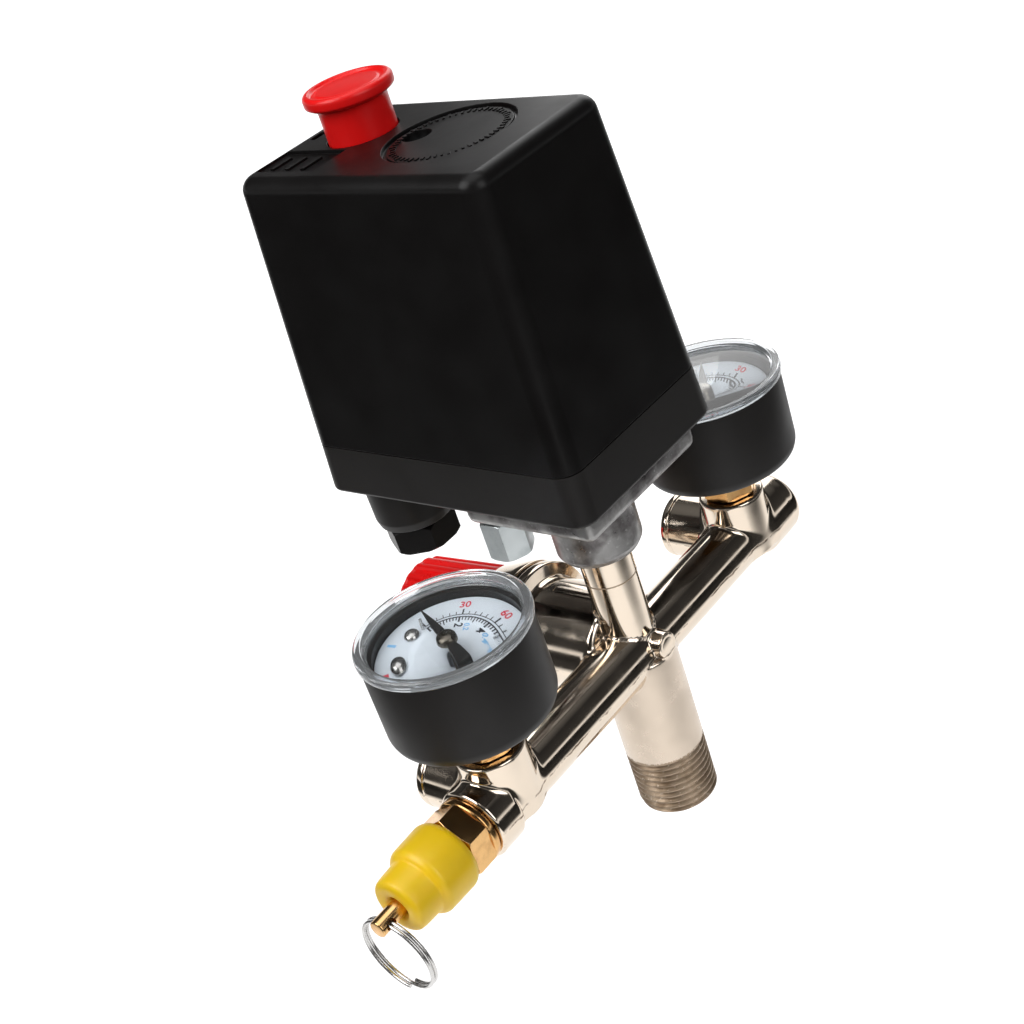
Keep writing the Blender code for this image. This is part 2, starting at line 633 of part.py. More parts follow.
def die_cast_base():
    plate = box((*PLATE_LOW, PLATE_BOTTOM), (*PLATE_HIGH, 103.8), round_r=1.2)
    fuse(plate, turned([(0, 106.2), (17.0, 106.2), (17.0, 102), (12.6, 96), (BOSS_R, 94), (BOSS_R, 80.2),
                        (9.2, BOSS_BOTTOM), (0, BOSS_BOTTOM)], steps=20))
    cut(plate, rod(6.3, 78, 91.8, steps=24), rod(2.0, 90, 102, steps=12), rod(13.0, 101, 107, steps=24),
        rod(1.6, 96, 105, (*UNLOADER_AT, 0), steps=12))
    as_part(plate, "die_cast_base", "die_cast")
    nut = rod(5.8, 86.6, PLATE_BOTTOM - GAP, (*UNLOADER_AT, 0), steps=6)
    cut(nut, rod(3.3, 86, 90.5, (*UNLOADER_AT, 0)), rod(1.9, 86, 98, (*UNLOADER_AT, 0), steps=12))
    as_part(nut, "unloader_nut", "zinc")
    as_part(rod(1.2, 92, 117.1, (*UNLOADER_AT, 0), steps=12), "unloader_pin", "steel")


def cable_gland():
    at = (*GLAND_AT, 0)
    nut = rod(9.6, 83.0, 90.0, at, steps=6)
    cut(nut, rod(7.4, 84.6, 91, at), rod(5.0, 82, 86, at))
    as_part(nut, "gland_nut", "black_plastic")
    seal = turned([(5.7, 95), (5.7, 84.9), (4.0, 84.9), (4.0, 95)], at, steps=24, ring=True)
    as_part(seal, "gland_seal", "rubber")


# ---------------------------------------------------------------- switch mechanism

def pressure_side():
    as_part(rod(16.4, 106.5, 107.4, steps=24), "pressure_diaphragm", "rubber")
    frame = box((-19.5, -22, 107.7), (19.5, 19, 109.2))
    fuse(frame, box((-19.5, 9, 108.5), (-18, 19, 124)), box((18, 9, 108.5), (19.5, 19, 124)))
    pin_at = (0, PIVOT_Y, PIVOT_Z)
    cut(frame, rod(8.2, 107, 110, steps=24), rod(1.8, -21, 21, pin_at, ALONG_X, steps=12),
        rod(1.6, 107, 110, (*UNLOADER_AT, 0), steps=12), rod(2.7, 107, 110, (*STUD_AT, 0), steps=12))
    as_part(frame, "mechanism_frame", "steel")
    piston = turned([(0, 117.1), (3.0, 117.1), (3.0, 115.2), (7.8, 115.2), (7.8, 107.7), (0, 107.7)])
    as_part(piston, "pressure_piston", "beige_plastic")
    as_part(rod(1.5, -20.5, 20.5, pin_at, ALONG_X, steps=12), "lever_pivot_pin", "steel")


def rocker_lever():
    """The lever's origin is its pivot; it reaches forward over the piston to the contacts."""
    pivot = (0, PIVOT_Y, PIVOT_Z)
    lever = box((-17, -54.5, -1.9), (17, 0, -0.4), pivot)
    fuse(lever, rod(2.9, -17, 17, pivot, ALONG_X))
    cut(lever, rod(1.8, -18, 18, pivot, ALONG_X, steps=12), rod(3.6, 110, 125, (*STUD_AT, 0)))
    as_part(lever, "rocker_lever", "steel")


def range_setting():
    at = (*STUD_AT, 0)
    stud = turned([(0, 172.6), (2.4, 172.6), (2.4, 107.7), (0, 107.7)], at, steps=16)
    cut(stud, rod(1.9, 162.5, 173, at, steps=12))
    as_part(stud, "range_stud", "zinc")
    as_part(coil(6.6, 0.9, 6.5, 119.3, 149.6, at), "range_spring", "steel")
    seat = turned([(2.75, 152.4), (8.4, 152.4), (8.4, 149.9), (2.75, 149.9)], at, steps=24, ring=True)
    as_part(seat, "range_spring_seat", "zinc")
    nut = rod(5.8, 152.7, 157.2, at, steps=6)
    cut(nut, rod(2.75, 152, 158, at))
    as_part(nut, "range_nut", "zinc")


def contact_set():
    block = box((-21, -54.5, 106.5), (21, -41, 124))
    fuse(block, box((-21, -42, 106.5), (21, -34.5, 112.5)))
    for x in (-13.0, 13.0):
        fuse(block, rod(1.8, 112, 114.0, (x, -37.5, 0), steps=12))
    gland_way = box((4, -57, 106), (21.5, -40, 112.6))
    cut(block, gland_way)
    for index, x in enumerate((-15.6, -5.2, 5.2, 15.6)):
        spot = (x, -48.5, 0)
        cut(block, rod(1.9, 115, 125, spot, steps=12))
        screw = turned([(0, 126.6), (2.6, 126.6), (3.2, 126.0), (3.2, 124.3), (1.6, 124.3), (1.6, 116),
                        (0, 116)], spot, steps=16)
        cut(screw, box((-3.4, -0.35, 125.6), (3.4, 0.35, 127), spot))
        as_part(screw, f"terminal_screw_{index + 1}", "brass")
    as_part(block, "terminal_block", "black_plastic")
    bridge = box((-15.5, -39.5, 114.3), (15.5, -34.9, 115.4))
    fuse(bridge, box((-3, -38.5, 115), (3, -35.5, 116.9)))
    as_part(bridge, "contact_bridge", "brass")


clear_scene()
MODEL = new_collection(OBJECT_NAME)
TOOLS = new_collection("cutters")
manifold()
regulator()
gauge("supply_gauge", SUPPLY_X, SUPPLY_ZERO_DEG)
gauge("outlet_gauge", OUTLET_X, OUTLET_ZERO_DEG)
safety_valve()
base_housing()
cover()
power_knob()
die_cast_base()
cable_gland()
pressure_side()
rocker_lever()
range_setting()
contact_set()
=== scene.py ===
"""Looks of the pressure switch and its manifold: fine meshes, materials, light and camera.

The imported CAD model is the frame. Sizes below are in millimetres, as in the design, and the mesh helpers
turn them into metres. +Z runs up the pipe, +X along the bar to the safety valve, -Y to the regulator knob.
"""
import json
import math

import bmesh
import bpy
import numpy as np
from mathutils import Matrix, Vector

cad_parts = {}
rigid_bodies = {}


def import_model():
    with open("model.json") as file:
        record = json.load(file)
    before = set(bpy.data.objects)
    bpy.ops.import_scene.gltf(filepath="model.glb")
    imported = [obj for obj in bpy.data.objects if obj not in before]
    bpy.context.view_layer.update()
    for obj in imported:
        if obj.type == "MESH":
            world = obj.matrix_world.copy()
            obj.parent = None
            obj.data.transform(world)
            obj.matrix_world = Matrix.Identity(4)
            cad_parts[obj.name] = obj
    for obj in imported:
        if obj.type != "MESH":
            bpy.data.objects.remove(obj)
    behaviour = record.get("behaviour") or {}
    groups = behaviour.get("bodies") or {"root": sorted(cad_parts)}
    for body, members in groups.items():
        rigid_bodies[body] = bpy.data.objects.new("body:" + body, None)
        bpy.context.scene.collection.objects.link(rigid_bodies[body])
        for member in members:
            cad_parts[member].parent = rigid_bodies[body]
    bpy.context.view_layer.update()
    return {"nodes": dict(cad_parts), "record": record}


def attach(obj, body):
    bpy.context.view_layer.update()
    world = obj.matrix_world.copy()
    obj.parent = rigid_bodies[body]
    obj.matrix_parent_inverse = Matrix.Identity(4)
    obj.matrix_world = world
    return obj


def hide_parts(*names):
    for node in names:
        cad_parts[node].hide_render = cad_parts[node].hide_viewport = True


MM = 0.001
WELD = 0.000002

CREASE_DEG = 32

# Directions that a turned piece's own +Z can take
UP = Matrix.Identity(4)
ALONG_X = Matrix.Rotation(math.pi / 2, 4, "Y")
ALONG_FRONT = Matrix.Rotation(math.pi / 2, 4, "X")
ALONG_BACK = Matrix.Rotation(-math.pi / 2, 4, "X")

# Manifold casting
BAR_Y = 1.0
BAR_Z = 47.8
BAR_R = 7.45
BAR_END_R = 9.3
BOSS_R = 8.6
SUPPLY_X = 54.6
OUTLET_X = -50.7
THREAD_TOP = 17.6
THREAD_PITCH = 1.814
NIPPLE_R = 10.4
NIPPLE_BORE_R = 4.2
SHOULDER_Z = 47.3
PIPE_R = 6.55
PIPE_TOP = 78.2
STUB_R = 8.8
STUB_BORE_R = 5.7
STUB_END = 19.5
PLUG_AT = (-0.9, 49.9)
PLUG_END = 10.6
HOUSING_R = 14.0
BEAD_R = 0.36
CAST_STEP = 0.5

# Gauges
DIAL_Z = 89.6
DIAL_R = 16.4
POINTER_Z = 91.8
NEEDLE_LENGTH = 13.9
SUPPLY_ZERO_DEG = 245.0
OUTLET_ZERO_DEG = 214.0
SCALE_DEG = 250.0
POUND_DEG = 44 / 30
METRIC_UNITS = 12
METRIC_NUMBER_R = 7.6
DECIMAL_NUMBER_R = 7.2
POUND_NUMBER_R = 13.9
STOP_PIN_R = 10.6
SCREW_CIRCLE_R = 11.2
SCREW_ARC_DEG = 22

# Safety valve
RING_X = 98.0
RING_R = 9.6
RING_WIRE_R = 0.45

# Switch housing
HOUSING_Y = -17.4
WALL = 2.0
BASE_BOTTOM = 104.1
SEAM_Z = 116.9
COVER_TOP = 184.3
BASE_HALF = (26.5, 41.1)
SEAM_HALF = (25.8, 40.4)
TOP_HALF = (22.05, 36.8)
WELL_AT = (-2.0, -17.3)
RECESS_AT = (-1.9, -7.4)
KNOB_AT = (-3.8, -35.6)
GLAND_AT = (12.5, -46.0)
UNLOADER_AT = (15.9, -12.5)
RING_TICKS = 54

# Camera
CAMERA_AT = (237.38, 239.17, 283.69)
CAMERA_TURN_DEG = (59.362, 16.79, 128.499)
CAMERA_LENS = 57.556

# Room. The steps are (height, brightness), from level with the floor to straight up
FLOOR_Z = -260.0
ROOM_STEPS = ((0.0, 1.0), (0.06, 1.0), (0.15, 0.045), (0.6, 0.025), (1.0, 0.25))
LIT_POINT = (0, 0, 0.1)


# ---- mesh helpers

def added(name, data):
    """A new object in the scene."""
    obj = bpy.data.objects.new(name, data)
    bpy.context.scene.collection.objects.link(obj)
    return obj


def mesh_object(shape, name="shape"):
    """Turns a bmesh in millimetres into an object in metres."""
    bmesh.ops.recalc_face_normals(shape, faces=shape.faces[:])
    bmesh.ops.scale(shape, vec=(MM, MM, MM), verts=shape.verts[:])
    mesh = bpy.data.meshes.new(name)
    shape.to_mesh(mesh)
    shape.free()
    return added(name, mesh)


def moved(obj, at=(0, 0, 0), turn=UP):
    """Puts a new mesh in place in its own vertices."""
    obj.data.transform(Matrix.Translation(Vector(at) * MM) @ turn)
    return obj


def bake_modifiers(obj):
    """Replaces the mesh with what its modifiers make of it."""
    bpy.context.view_layer.update()
    seen = obj.evaluated_get(bpy.context.evaluated_depsgraph_get())
    mesh = bpy.data.meshes.new_from_object(seen)
    obj.modifiers.clear()
    obj.data = mesh
    return obj


def softened(points, closed, radius=0.3, segments=3):
    """The outline with its corners rounded. A point's third value is its own corner radius."""
    rounded = []
    for i, point in enumerate(points):
        here = Vector(point[:2])
        if not closed and i in (0, len(points) - 1):
            rounded.append(here)
            continue
        to_last = Vector(points[i - 1][:2]) - here
        to_next = Vector(points[(i + 1) % len(points)][:2]) - here
        wanted = point[2] if len(point) > 2 else radius
        reach = min(wanted, to_last.length * 0.48, to_next.length * 0.48)
        if reach < 0.01:
            rounded.append(here)
            continue
        count = segments + 3 if wanted > 1 else segments
        start = here + to_last.normalized() * reach
        end = here + to_next.normalized() * reach
        for k in range(count + 1):
            t = k / count
            rounded.append(start * (1 - t) ** 2 + here * 2 * t * (1 - t) + end * t ** 2)
    return rounded


def lathe(points, at=(0, 0, 0), turn=UP, steps=96, ring=False, ripple=None, radius=0.3):
    """A turned shape from (radius, height) points. ripple(angle, height) scales the radius."""
    outline = softened(points, ring, radius)
    shape = bmesh.new()
    poles = {i: shape.verts.new((0, 0, p.y)) for i, p in enumerate(outline) if p.x < 1e-6}
    columns = []
    for step in range(steps):
        angle = 2 * math.pi * step / steps
        column = []
        for i, p in enumerate(outline):
            if i in poles:
                column.append(poles[i])
                continue
            reach = p.x * (ripple(angle, p.y) if ripple else 1.0)
            column.append(shape.verts.new((reach * math.cos(angle), reach * math.sin(angle), p.y)))
        columns.append(column)
    rows = len(outline) if ring else len(outline) - 1
    for step in range(steps):
        near, far = columns[step], columns[(step + 1) % steps]
        for i in range(rows):
            j = (i + 1) % len(outline)
            corners = list(dict.fromkeys([near[i], near[j], far[j], far[i]]))
            if len(corners) > 2:
                shape.faces.new(corners)
    return moved(mesh_object(shape), at, turn)


def prism(sides, corner_r, low, high, at=(0, 0, 0), turn=UP, first_deg=0.0):
    """An upright regular prism, or a plain drill for a hole."""
    shape = bmesh.new()
    spin = Matrix.Rotation(math.radians(first_deg), 4, "Z")
    bmesh.ops.create_cone(shape, cap_ends=True, segments=sides, radius1=corner_r, radius2=corner_r,
                          depth=high - low, matrix=Matrix.Translation((0, 0, (low + high) / 2)) @ spin)
    return moved(mesh_object(shape), at, turn)


def block(low, high, at=(0, 0, 0), turn=UP):
    """A box between two opposite corners."""
    size = [b - a for a, b in zip(low, high)]
    middle = [(a + b) / 2 for a, b in zip(low, high)]
    shape = bmesh.new()
    bmesh.ops.create_cube(shape, size=1.0, matrix=Matrix.Translation(middle) @ Matrix.Diagonal((*size, 1)))
    return moved(mesh_object(shape), at, turn)


def tapered_block(low_half, high_half, low, high, corner, top_edge=0.0, low_edge=0.0):
    """A box with rounded upright corners that leans in towards its top, centred on the housing."""
    shape = bmesh.new()
    bmesh.ops.create_cube(shape, size=2.0)
    for vert in shape.verts:
        half, height = (high_half, high) if vert.co.z > 0 else (low_half, low)
        vert.co = (vert.co.x * half[0], vert.co.y * half[1], height)
    upright = [e for e in shape.edges if abs(e.verts[0].co.z - e.verts[1].co.z) > 1]
    bmesh.ops.bevel(shape, geom=upright, offset=corner, segments=8, profile=0.5, affect="EDGES")
    for edge_r, height in ((top_edge, high), (low_edge, low)):
        if edge_r:
            rim = [e for e in shape.edges if max(abs(v.co.z - height) for v in e.verts) < 0.01]
            bmesh.ops.bevel(shape, geom=rim, offset=edge_r, segments=6, profile=0.5, affect="EDGES")
    return moved(mesh_object(shape), (0, HOUSING_Y, 0))


def combine(obj, operation, tools):
    """Joins, cuts or crosses meshes, and removes the tools."""
    for tool in tools:
        step = obj.modifiers.new("step", "BOOLEAN")
        step.operation = operation
        step.solver = "EXACT"
        step.object = tool
    bake_modifiers(obj)
    for tool in tools:
        bpy.data.objects.remove(tool, do_unlink=True)
    return obj


def cut(obj, *tools):
    return combine(obj, "DIFFERENCE", tools)


def fuse(obj, *tools):
    return combine(obj, "UNION", tools)


def hex_nut(corner_r, low, high, at=(0, 0, 0), turn=UP, chamfer=0.8, first_deg=0.0):
    """A hexagon with both ends turned to a chamfer."""
    nut = prism(6, corner_r, low, high, at, turn, first_deg)
    inner = corner_r * 0.9
    outer = corner_r + 0.4
    turned = lathe([(0, high), (inner, high), (outer, high - chamfer), (outer, low + chamfer), (inner, low),
                    (0, low)], at, turn, radius=0.0)
    return combine(nut, "INTERSECT", [turned])


def welded(obj):
    """Closes hairline gaps and drops faces without area."""
    shape = bmesh.new()
    shape.from_mesh(obj.data)
    bmesh.ops.remove_doubles(shape, verts=shape.verts[:], dist=WELD)
    bmesh.ops.dissolve_degenerate(shape, dist=WELD, edges=shape.edges[:])
    shape.to_mesh(obj.data)
    shape.free()
    return obj


def eased(obj, width, segments=2):
    """Small rounds on every edge, with shading that keeps the flats flat."""
    welded(obj)
    bevel = obj.modifiers.new("ease", "BEVEL")
    bevel.width = width * MM
    bevel.segments = segments
    bevel.limit_method = "ANGLE"
    bevel.angle_limit = math.radians(CREASE_DEG)
    bevel.use_clamp_overlap = True
    welded(bake_modifiers(obj))
    obj.data.shade_smooth()
    weigh = obj.modifiers.new("weigh", "WEIGHTED_NORMAL")
    weigh.weight = 90
    return bake_modifiers(obj)


def piece(obj, name, finish, body="housing", replaces=(), smooth_deg=38):
    """Names a finished mesh, gives it its material and slot, and rides it on its body."""
    obj.name = name
    obj.data.name = name
    obj.data.materials.clear()
    obj.data.materials.append(PAINTS[finish])
    if smooth_deg:
        obj.data.shade_smooth()
        obj.data.set_sharp_from_angle(angle=math.radians(smooth_deg))
    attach(obj, body)
    if replaces:
        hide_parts(*replaces)
    return obj


def curve_mesh(curve):
    """The mesh of a curve or of a text."""
    source = added("curve", curve)
    bpy.context.view_layer.update()
    mesh = bpy.data.meshes.new_from_object(source.evaluated_get(bpy.context.evaluated_depsgraph_get()))
    bpy.data.objects.remove(source, do_unlink=True)
    return mesh


def wire(points, radius, name):
    """A round wire with closed ends, along the points."""
    curve = bpy.data.curves.new(name, "CURVE")
    curve.dimensions = "3D"
    curve.bevel_depth = radius * MM
    curve.bevel_resolution = 4
    curve.use_fill_caps = True
    spline = curve.splines.new("POLY")
    spline.points.add(len(points) - 1)
    for point, place in zip(spline.points, points):
        point.co = (*(Vector(place) * MM), 1)
    mesh = curve_mesh(curve)
    shape = bmesh.new()
    shape.from_mesh(mesh)
    bmesh.ops.remove_doubles(shape, verts=shape.verts[:], dist=WELD)
    bmesh.ops.recalc_face_normals(shape, faces=shape.faces[:])
    shape.to_mesh(mesh)
    shape.free()
    return added(name, mesh)


# ---- casting as a smooth field

def rounded_rod(p, axis, centre, radius, start, end, edge):
    """Distance to a rod along X, Y or Z (0, 1, 2) with rounded ends."""
    across = [i for i in range(3) if i != axis]
    off = [p[..., i] - c for i, c in zip(across, centre)]
    radial = np.hypot(*off) - (radius - edge)
    along = np.abs(p[..., axis] - (start + end) / 2) - (abs(end - start) / 2 - edge)
    outside = np.hypot(np.maximum(radial, 0), np.maximum(along, 0))
    return outside + np.minimum(np.maximum(radial, along), 0) - edge


def melt(a, b, width):
    """Union with a fillet."""
    share = np.clip(0.5 + 0.5 * (b - a) / width, 0, 1)
    return b * (1 - share) + a * share - width * share * (1 - share)


def crossed(a, b, edge):
    """Where both shapes are, with a rounded edge between them."""
    outside = np.hypot(np.maximum(a + edge, 0), np.maximum(b + edge, 0))
    return outside + np.minimum(np.maximum(a, b) + edge, 0) - edge


def nipple_field(p):
    """The nipple above its thread, with a top that slopes gently up to the pipe."""
    radius = np.hypot(p[..., 0], p[..., 1])
    above = (p[..., 2] - SHOULDER_Z - 0.34 * (NIPPLE_R - radius)) * 0.947
    return np.maximum(crossed(radius - NIPPLE_R, above, 0.5), THREAD_TOP - 0.1 - p[..., 2])


def casting_field(p):
    """Distance to the casting: negative inside, zero on its skin."""
    bar = (BAR_Y, BAR_Z)
    body = rounded_rod(p, 0, bar, BAR_R, -62, 62, 0.5)
    pipe = rounded_rod(p, 2, (0, 0), PIPE_R, 40, PIPE_TOP, 0.35)
    bead = np.hypot(body, pipe) - BEAD_R
    body = melt(body, rounded_rod(p, 0, bar, BAR_END_R, 59.3, 67.2, 0.9), 2.2)
    body = melt(body, rounded_rod(p, 0, bar, BAR_END_R, -68, -52, 3.6), 2.6)
    body = melt(melt(melt(body, nipple_field(p), 0.5), pipe, 0.5), bead, 0.3)
    for x in (SUPPLY_X, OUTLET_X):
        body = melt(body, rounded_rod(p, 2, (x, BAR_Y), BOSS_R, 44, 61.5, 0.7), 1.3)
        body = melt(body, rounded_rod(p, 1, (x, BAR_Z), STUB_R, -STUB_END + 2.3, 2, 0.45), 1.3)
    housing = rounded_rod(p, 1, (0, BAR_Z), HOUSING_R, -27, -2.5, 1.3)
    rib = rounded_rod(p, 1, (0, BAR_Z + HOUSING_R - 0.2), 0.9, -20.5, -4, 0.6)
    body = melt(body, melt(housing, rib, 0.8), 1.2)
    body = melt(body, rounded_rod(p, 1, PLUG_AT, 3.3, 0, PLUG_END, 0.4), 0.6)
    for x in (SUPPLY_X, OUTLET_X):
        body = np.maximum(body, -rounded_rod(p, 1, (x, BAR_Z), STUB_BORE_R, -25, 1.7, 0.2))
    return body


def casting_slope(p, reach=0.02):
    """Unit outward direction of the field at each point."""
    slope = np.empty_like(p)
    for axis in range(3):
        step = np.zeros(3)
        step[axis] = reach
        slope[:, axis] = casting_field(p + step) - casting_field(p - step)
    return slope / np.maximum(np.linalg.norm(slope, axis=1, keepdims=True), 1e-9)


def skin_quads(inside, cell):
    """The quads between the cells that touch, one for each grid edge that crosses the surface."""
    quads = []
    for axis in range(3):
        u, v = [i for i in range(3) if i != axis]
        low = [slice(1, -1)] * 3
        low[axis] = slice(0, -1)
        high = list(low)
        high[axis] = slice(1, None)
        first, second = inside[tuple(low)], inside[tuple(high)]
        crossing = np.argwhere(first != second)
        where = crossing + np.array([1 if i != axis else 0 for i in range(3)])
        corners = []
        for du, dv in ((-1, -1), (0, -1), (0, 0), (-1, 0)):
            at = where.copy()
            at[:, u] += du
            at[:, v] += dv
            corners.append(cell[at[:, 0], at[:, 1], at[:, 2]])
        faces = np.stack(corners, 1)
        flip = first[tuple(crossing.T)] == (axis == 1)
        faces[flip] = faces[flip][:, ::-1]
        quads.append(faces)
    return np.concatenate(quads)


def casting_mesh():
    """The cast body, as the zero level of the field, with its shading taken from the field too."""
    low = np.array((-72.0, -29.0, THREAD_TOP - 3))
    high = np.array((69.0, 13.0, PIPE_TOP + 2))
    axes = [np.arange(a, b, CAST_STEP) for a, b in zip(low, high)]
    grid = np.stack(np.meshgrid(*axes, indexing="ij"), -1)
    values = casting_field(grid)
    inside = values < 0
    corner = [inside[i:i + inside.shape[0] - 1, j:j + inside.shape[1] - 1, k:k + inside.shape[2] - 1]
              for i in (0, 1) for j in (0, 1) for k in (0, 1)]
    filled = sum(c.astype(np.int8) for c in corner)
    mixed = (filled > 0) & (filled < 8)
    cell = np.full(mixed.shape, -1)
    cell[mixed] = np.arange(mixed.sum())
    points = low + (np.argwhere(mixed) + 0.5) * CAST_STEP
    for _ in range(5):
        points = points - casting_field(points)[:, None] * casting_slope(points)
    quads = skin_quads(inside, cell)
    mesh = bpy.data.meshes.new("casting")
    mesh.from_pydata((points * MM).tolist(), [], quads.tolist())
    mesh.validate()
    mesh.shade_smooth()
    mesh.normals_split_custom_set_from_vertices(casting_slope(points).tolist())
    return added("casting", mesh)


# ---- materials

class Paint:
    """A procedural material around one Principled shader. Positions are in metres."""

    def __init__(self, name, colour, metallic=0.0, roughness=0.4, **sockets):
        self.material = bpy.data.materials.new(name)
        self.material.use_nodes = True
        self.tree = self.material.node_tree
        self.shader = self.tree.nodes["Principled BSDF"]
        self.place = self.node("TexCoord").outputs["Object"]
        self.colour = (*colour, 1.0)
        self.shader.inputs["Metallic"].default_value = metallic
        self.rough = roughness
        self.height = None
        for socket, value in sockets.items():
            self.shader.inputs[socket.replace("_", " ")].default_value = value

    def node(self, kind):
        return self.tree.nodes.new("ShaderNode" + kind)

    def link(self, source, target):
        self.tree.links.new(source, target)

    def feed(self, value, socket):
        """Sets a constant on the socket itself, and links anything else."""
        if isinstance(value, bpy.types.NodeSocket):
            self.link(value, socket)
        else:
            socket.default_value = value

    def math(self, operation, a, b=0.0):
        node = self.node("Math")
        node.operation = operation
        for socket, value in zip(node.inputs, (a, b)):
            self.feed(value, socket)
        return node.outputs[0]

    def noise(self, scale, detail=3.0, stretch=(1, 1, 1), rough=0.55):
        mapping = self.node("Mapping")
        mapping.inputs["Scale"].default_value = stretch
        self.link(self.place, mapping.inputs["Vector"])
        node = self.node("TexNoise")
        node.inputs["Scale"].default_value = scale
        node.inputs["Detail"].default_value = detail
        node.inputs["Roughness"].default_value = rough
        self.link(mapping.outputs[0], node.inputs["Vector"])
        return node.outputs["Fac"]

    def spots(self, scale, size):
        """1 inside small dots scattered over the surface, and 0 elsewhere."""
        node = self.node("TexVoronoi")
        node.inputs["Scale"].default_value = scale
        self.link(self.place, node.inputs["Vector"])
        near = self.math("LESS_THAN", node.outputs["Distance"], size)
        split = self.node("SeparateColor")
        self.link(node.outputs["Color"], split.inputs[0])
        rare = self.math("GREATER_THAN", split.outputs[0], 0.72)
        return self.math("MULTIPLY", near, rare)

    def axis(self, index):
        split = self.node("SeparateXYZ")
        self.link(self.place, split.inputs[0])
        return split.outputs[index]

    def ramp(self, value, low, high, start=0.0, end=1.0):
        """Maps low..high of a value to start..end, held at the ends."""
        node = self.node("MapRange")
        for socket, number in zip(("From Min", "From Max", "To Min", "To Max"), (low, high, start, end)):
            node.inputs[socket].default_value = number
        self.link(value, node.inputs["Value"])
        return node.outputs["Result"]

    def tint(self, mask, colour):
        """Mixes another colour in where the mask is 1."""
        node = self.node("Mix")
        node.data_type = "RGBA"
        self.link(mask, node.inputs["Factor"])
        self.feed(self.colour, node.inputs["A"])
        node.inputs["B"].default_value = (*colour, 1.0)
        self.colour = node.outputs["Result"]

    def rougher(self, value):
        """Adds to the roughness."""
        self.rough = self.math("ADD", value, self.rough)

    def raise_by(self, value, millimetres):
        """Adds a height in millimetres, for the bump."""
        scaled = self.math("MULTIPLY", value, millimetres * MM)
        self.height = scaled if self.height is None else self.math("ADD", self.height, scaled)

    def done(self):
        """Connects colour, roughness and bump to the shader."""
        self.feed(self.colour, self.shader.inputs["Base Color"])
        self.feed(self.rough, self.shader.inputs["Roughness"])
        if self.height is not None:
            bump = self.node("Bump")
            bump.inputs["Strength"].default_value = 1.0
            bump.inputs["Distance"].default_value = 1.0
            self.link(self.height, bump.inputs["Height"])
            self.link(bump.outputs[0], self.shader.inputs["Normal"])
        return self.material


def moulded(name, colour, roughness, grain_mm, dust=(0.3, 0.3, 0.3), dust_scale=120.0, **sockets):
    """Moulded plastic: a fine grain, cloudy gloss and a little dust."""
    paint = Paint(name, colour, roughness=roughness, **sockets)
    darker = [c * 0.84 for c in colour]
    paint.tint(paint.ramp(paint.noise(45, 4), 0.45, 0.75), darker)
    paint.tint(paint.spots(dust_scale, 0.018), dust)
    paint.rougher(paint.ramp(paint.noise(90, 5), 0.3, 0.7, -0.05, 0.06))
    paint.raise_by(paint.noise(2600, 2), grain_mm)
    paint.raise_by(paint.noise(60, 2), grain_mm * 4)
    return paint.done()


def nickel_paint(name, colour, roughness):
    """Nickel on a casting: soft waves, faint scratches, pits, and a stained parting line along the bar."""
    paint = Paint(name, colour, metallic=1.0, roughness=roughness)
    paint.tint(paint.ramp(paint.noise(35, 5), 0.5, 0.8, 0, 0.5), (0.62, 0.52, 0.40))
    low_part = paint.ramp(paint.axis(2), (SHOULDER_Z - 0.7) * MM, (SHOULDER_Z - 0.1) * MM, 1, 0)
    off_axis = paint.math("ADD", paint.math("ABSOLUTE", paint.axis(0)), paint.math("ABSOLUTE", paint.axis(1)))
    on_nipple = paint.math("MULTIPLY", low_part, paint.ramp(off_axis, 0.0148, 0.0156, 1, 0))
    satin = paint.math("MAXIMUM", on_nipple, paint.ramp(paint.axis(2), 0.030, 0.034, 1, 0))
    paint.rougher(paint.math("MULTIPLY", satin, 0.20))
    paint.tint(paint.math("MULTIPLY", satin, 0.5), (0.60, 0.50, 0.41))
    sway = paint.ramp(paint.noise(170, 4), 0.3, 0.7, -0.0005, 0.0005)
    height = paint.math("ADD", paint.axis(2), sway)
    off_line = paint.math("ABSOLUTE", paint.math("SUBTRACT", height, BAR_Z * MM))
    line = paint.ramp(off_line, 0.00005, 0.00040, 1, 0)
    broken = paint.ramp(paint.noise(95, 7, rough=0.75), 0.47, 0.60)
    mask = paint.math("MULTIPLY", line, broken)
    paint.tint(mask, (0.16, 0.10, 0.06))
    paint.tint(paint.spots(260, 0.035), (0.20, 0.15, 0.10))
    paint.rougher(paint.ramp(paint.noise(160, 6), 0.35, 0.75, -0.03, 0.10))
    paint.rougher(paint.math("MULTIPLY", mask, 0.3))
    paint.raise_by(paint.noise(55, 2), 0.05)
    paint.raise_by(paint.noise(1500, 3), 0.0018)
    paint.raise_by(mask, -0.03)
    return paint.done()


def thread_paint():
    """The threads have lost most of their plating, so the brownish metal shows."""
    paint = Paint("worn_thread", (0.46, 0.35, 0.25), metallic=0.7, roughness=0.40)
    paint.tint(paint.ramp(paint.noise(240, 5), 0.45, 0.7), (0.27, 0.19, 0.12))
    paint.tint(paint.ramp(paint.noise(900, 3), 0.60, 0.72), (0.72, 0.62, 0.50))
    paint.rougher(paint.ramp(paint.noise(500, 4), 0.3, 0.7, -0.08, 0.14))
    paint.raise_by(paint.noise(1400, 4), 0.03)
    return paint.done()


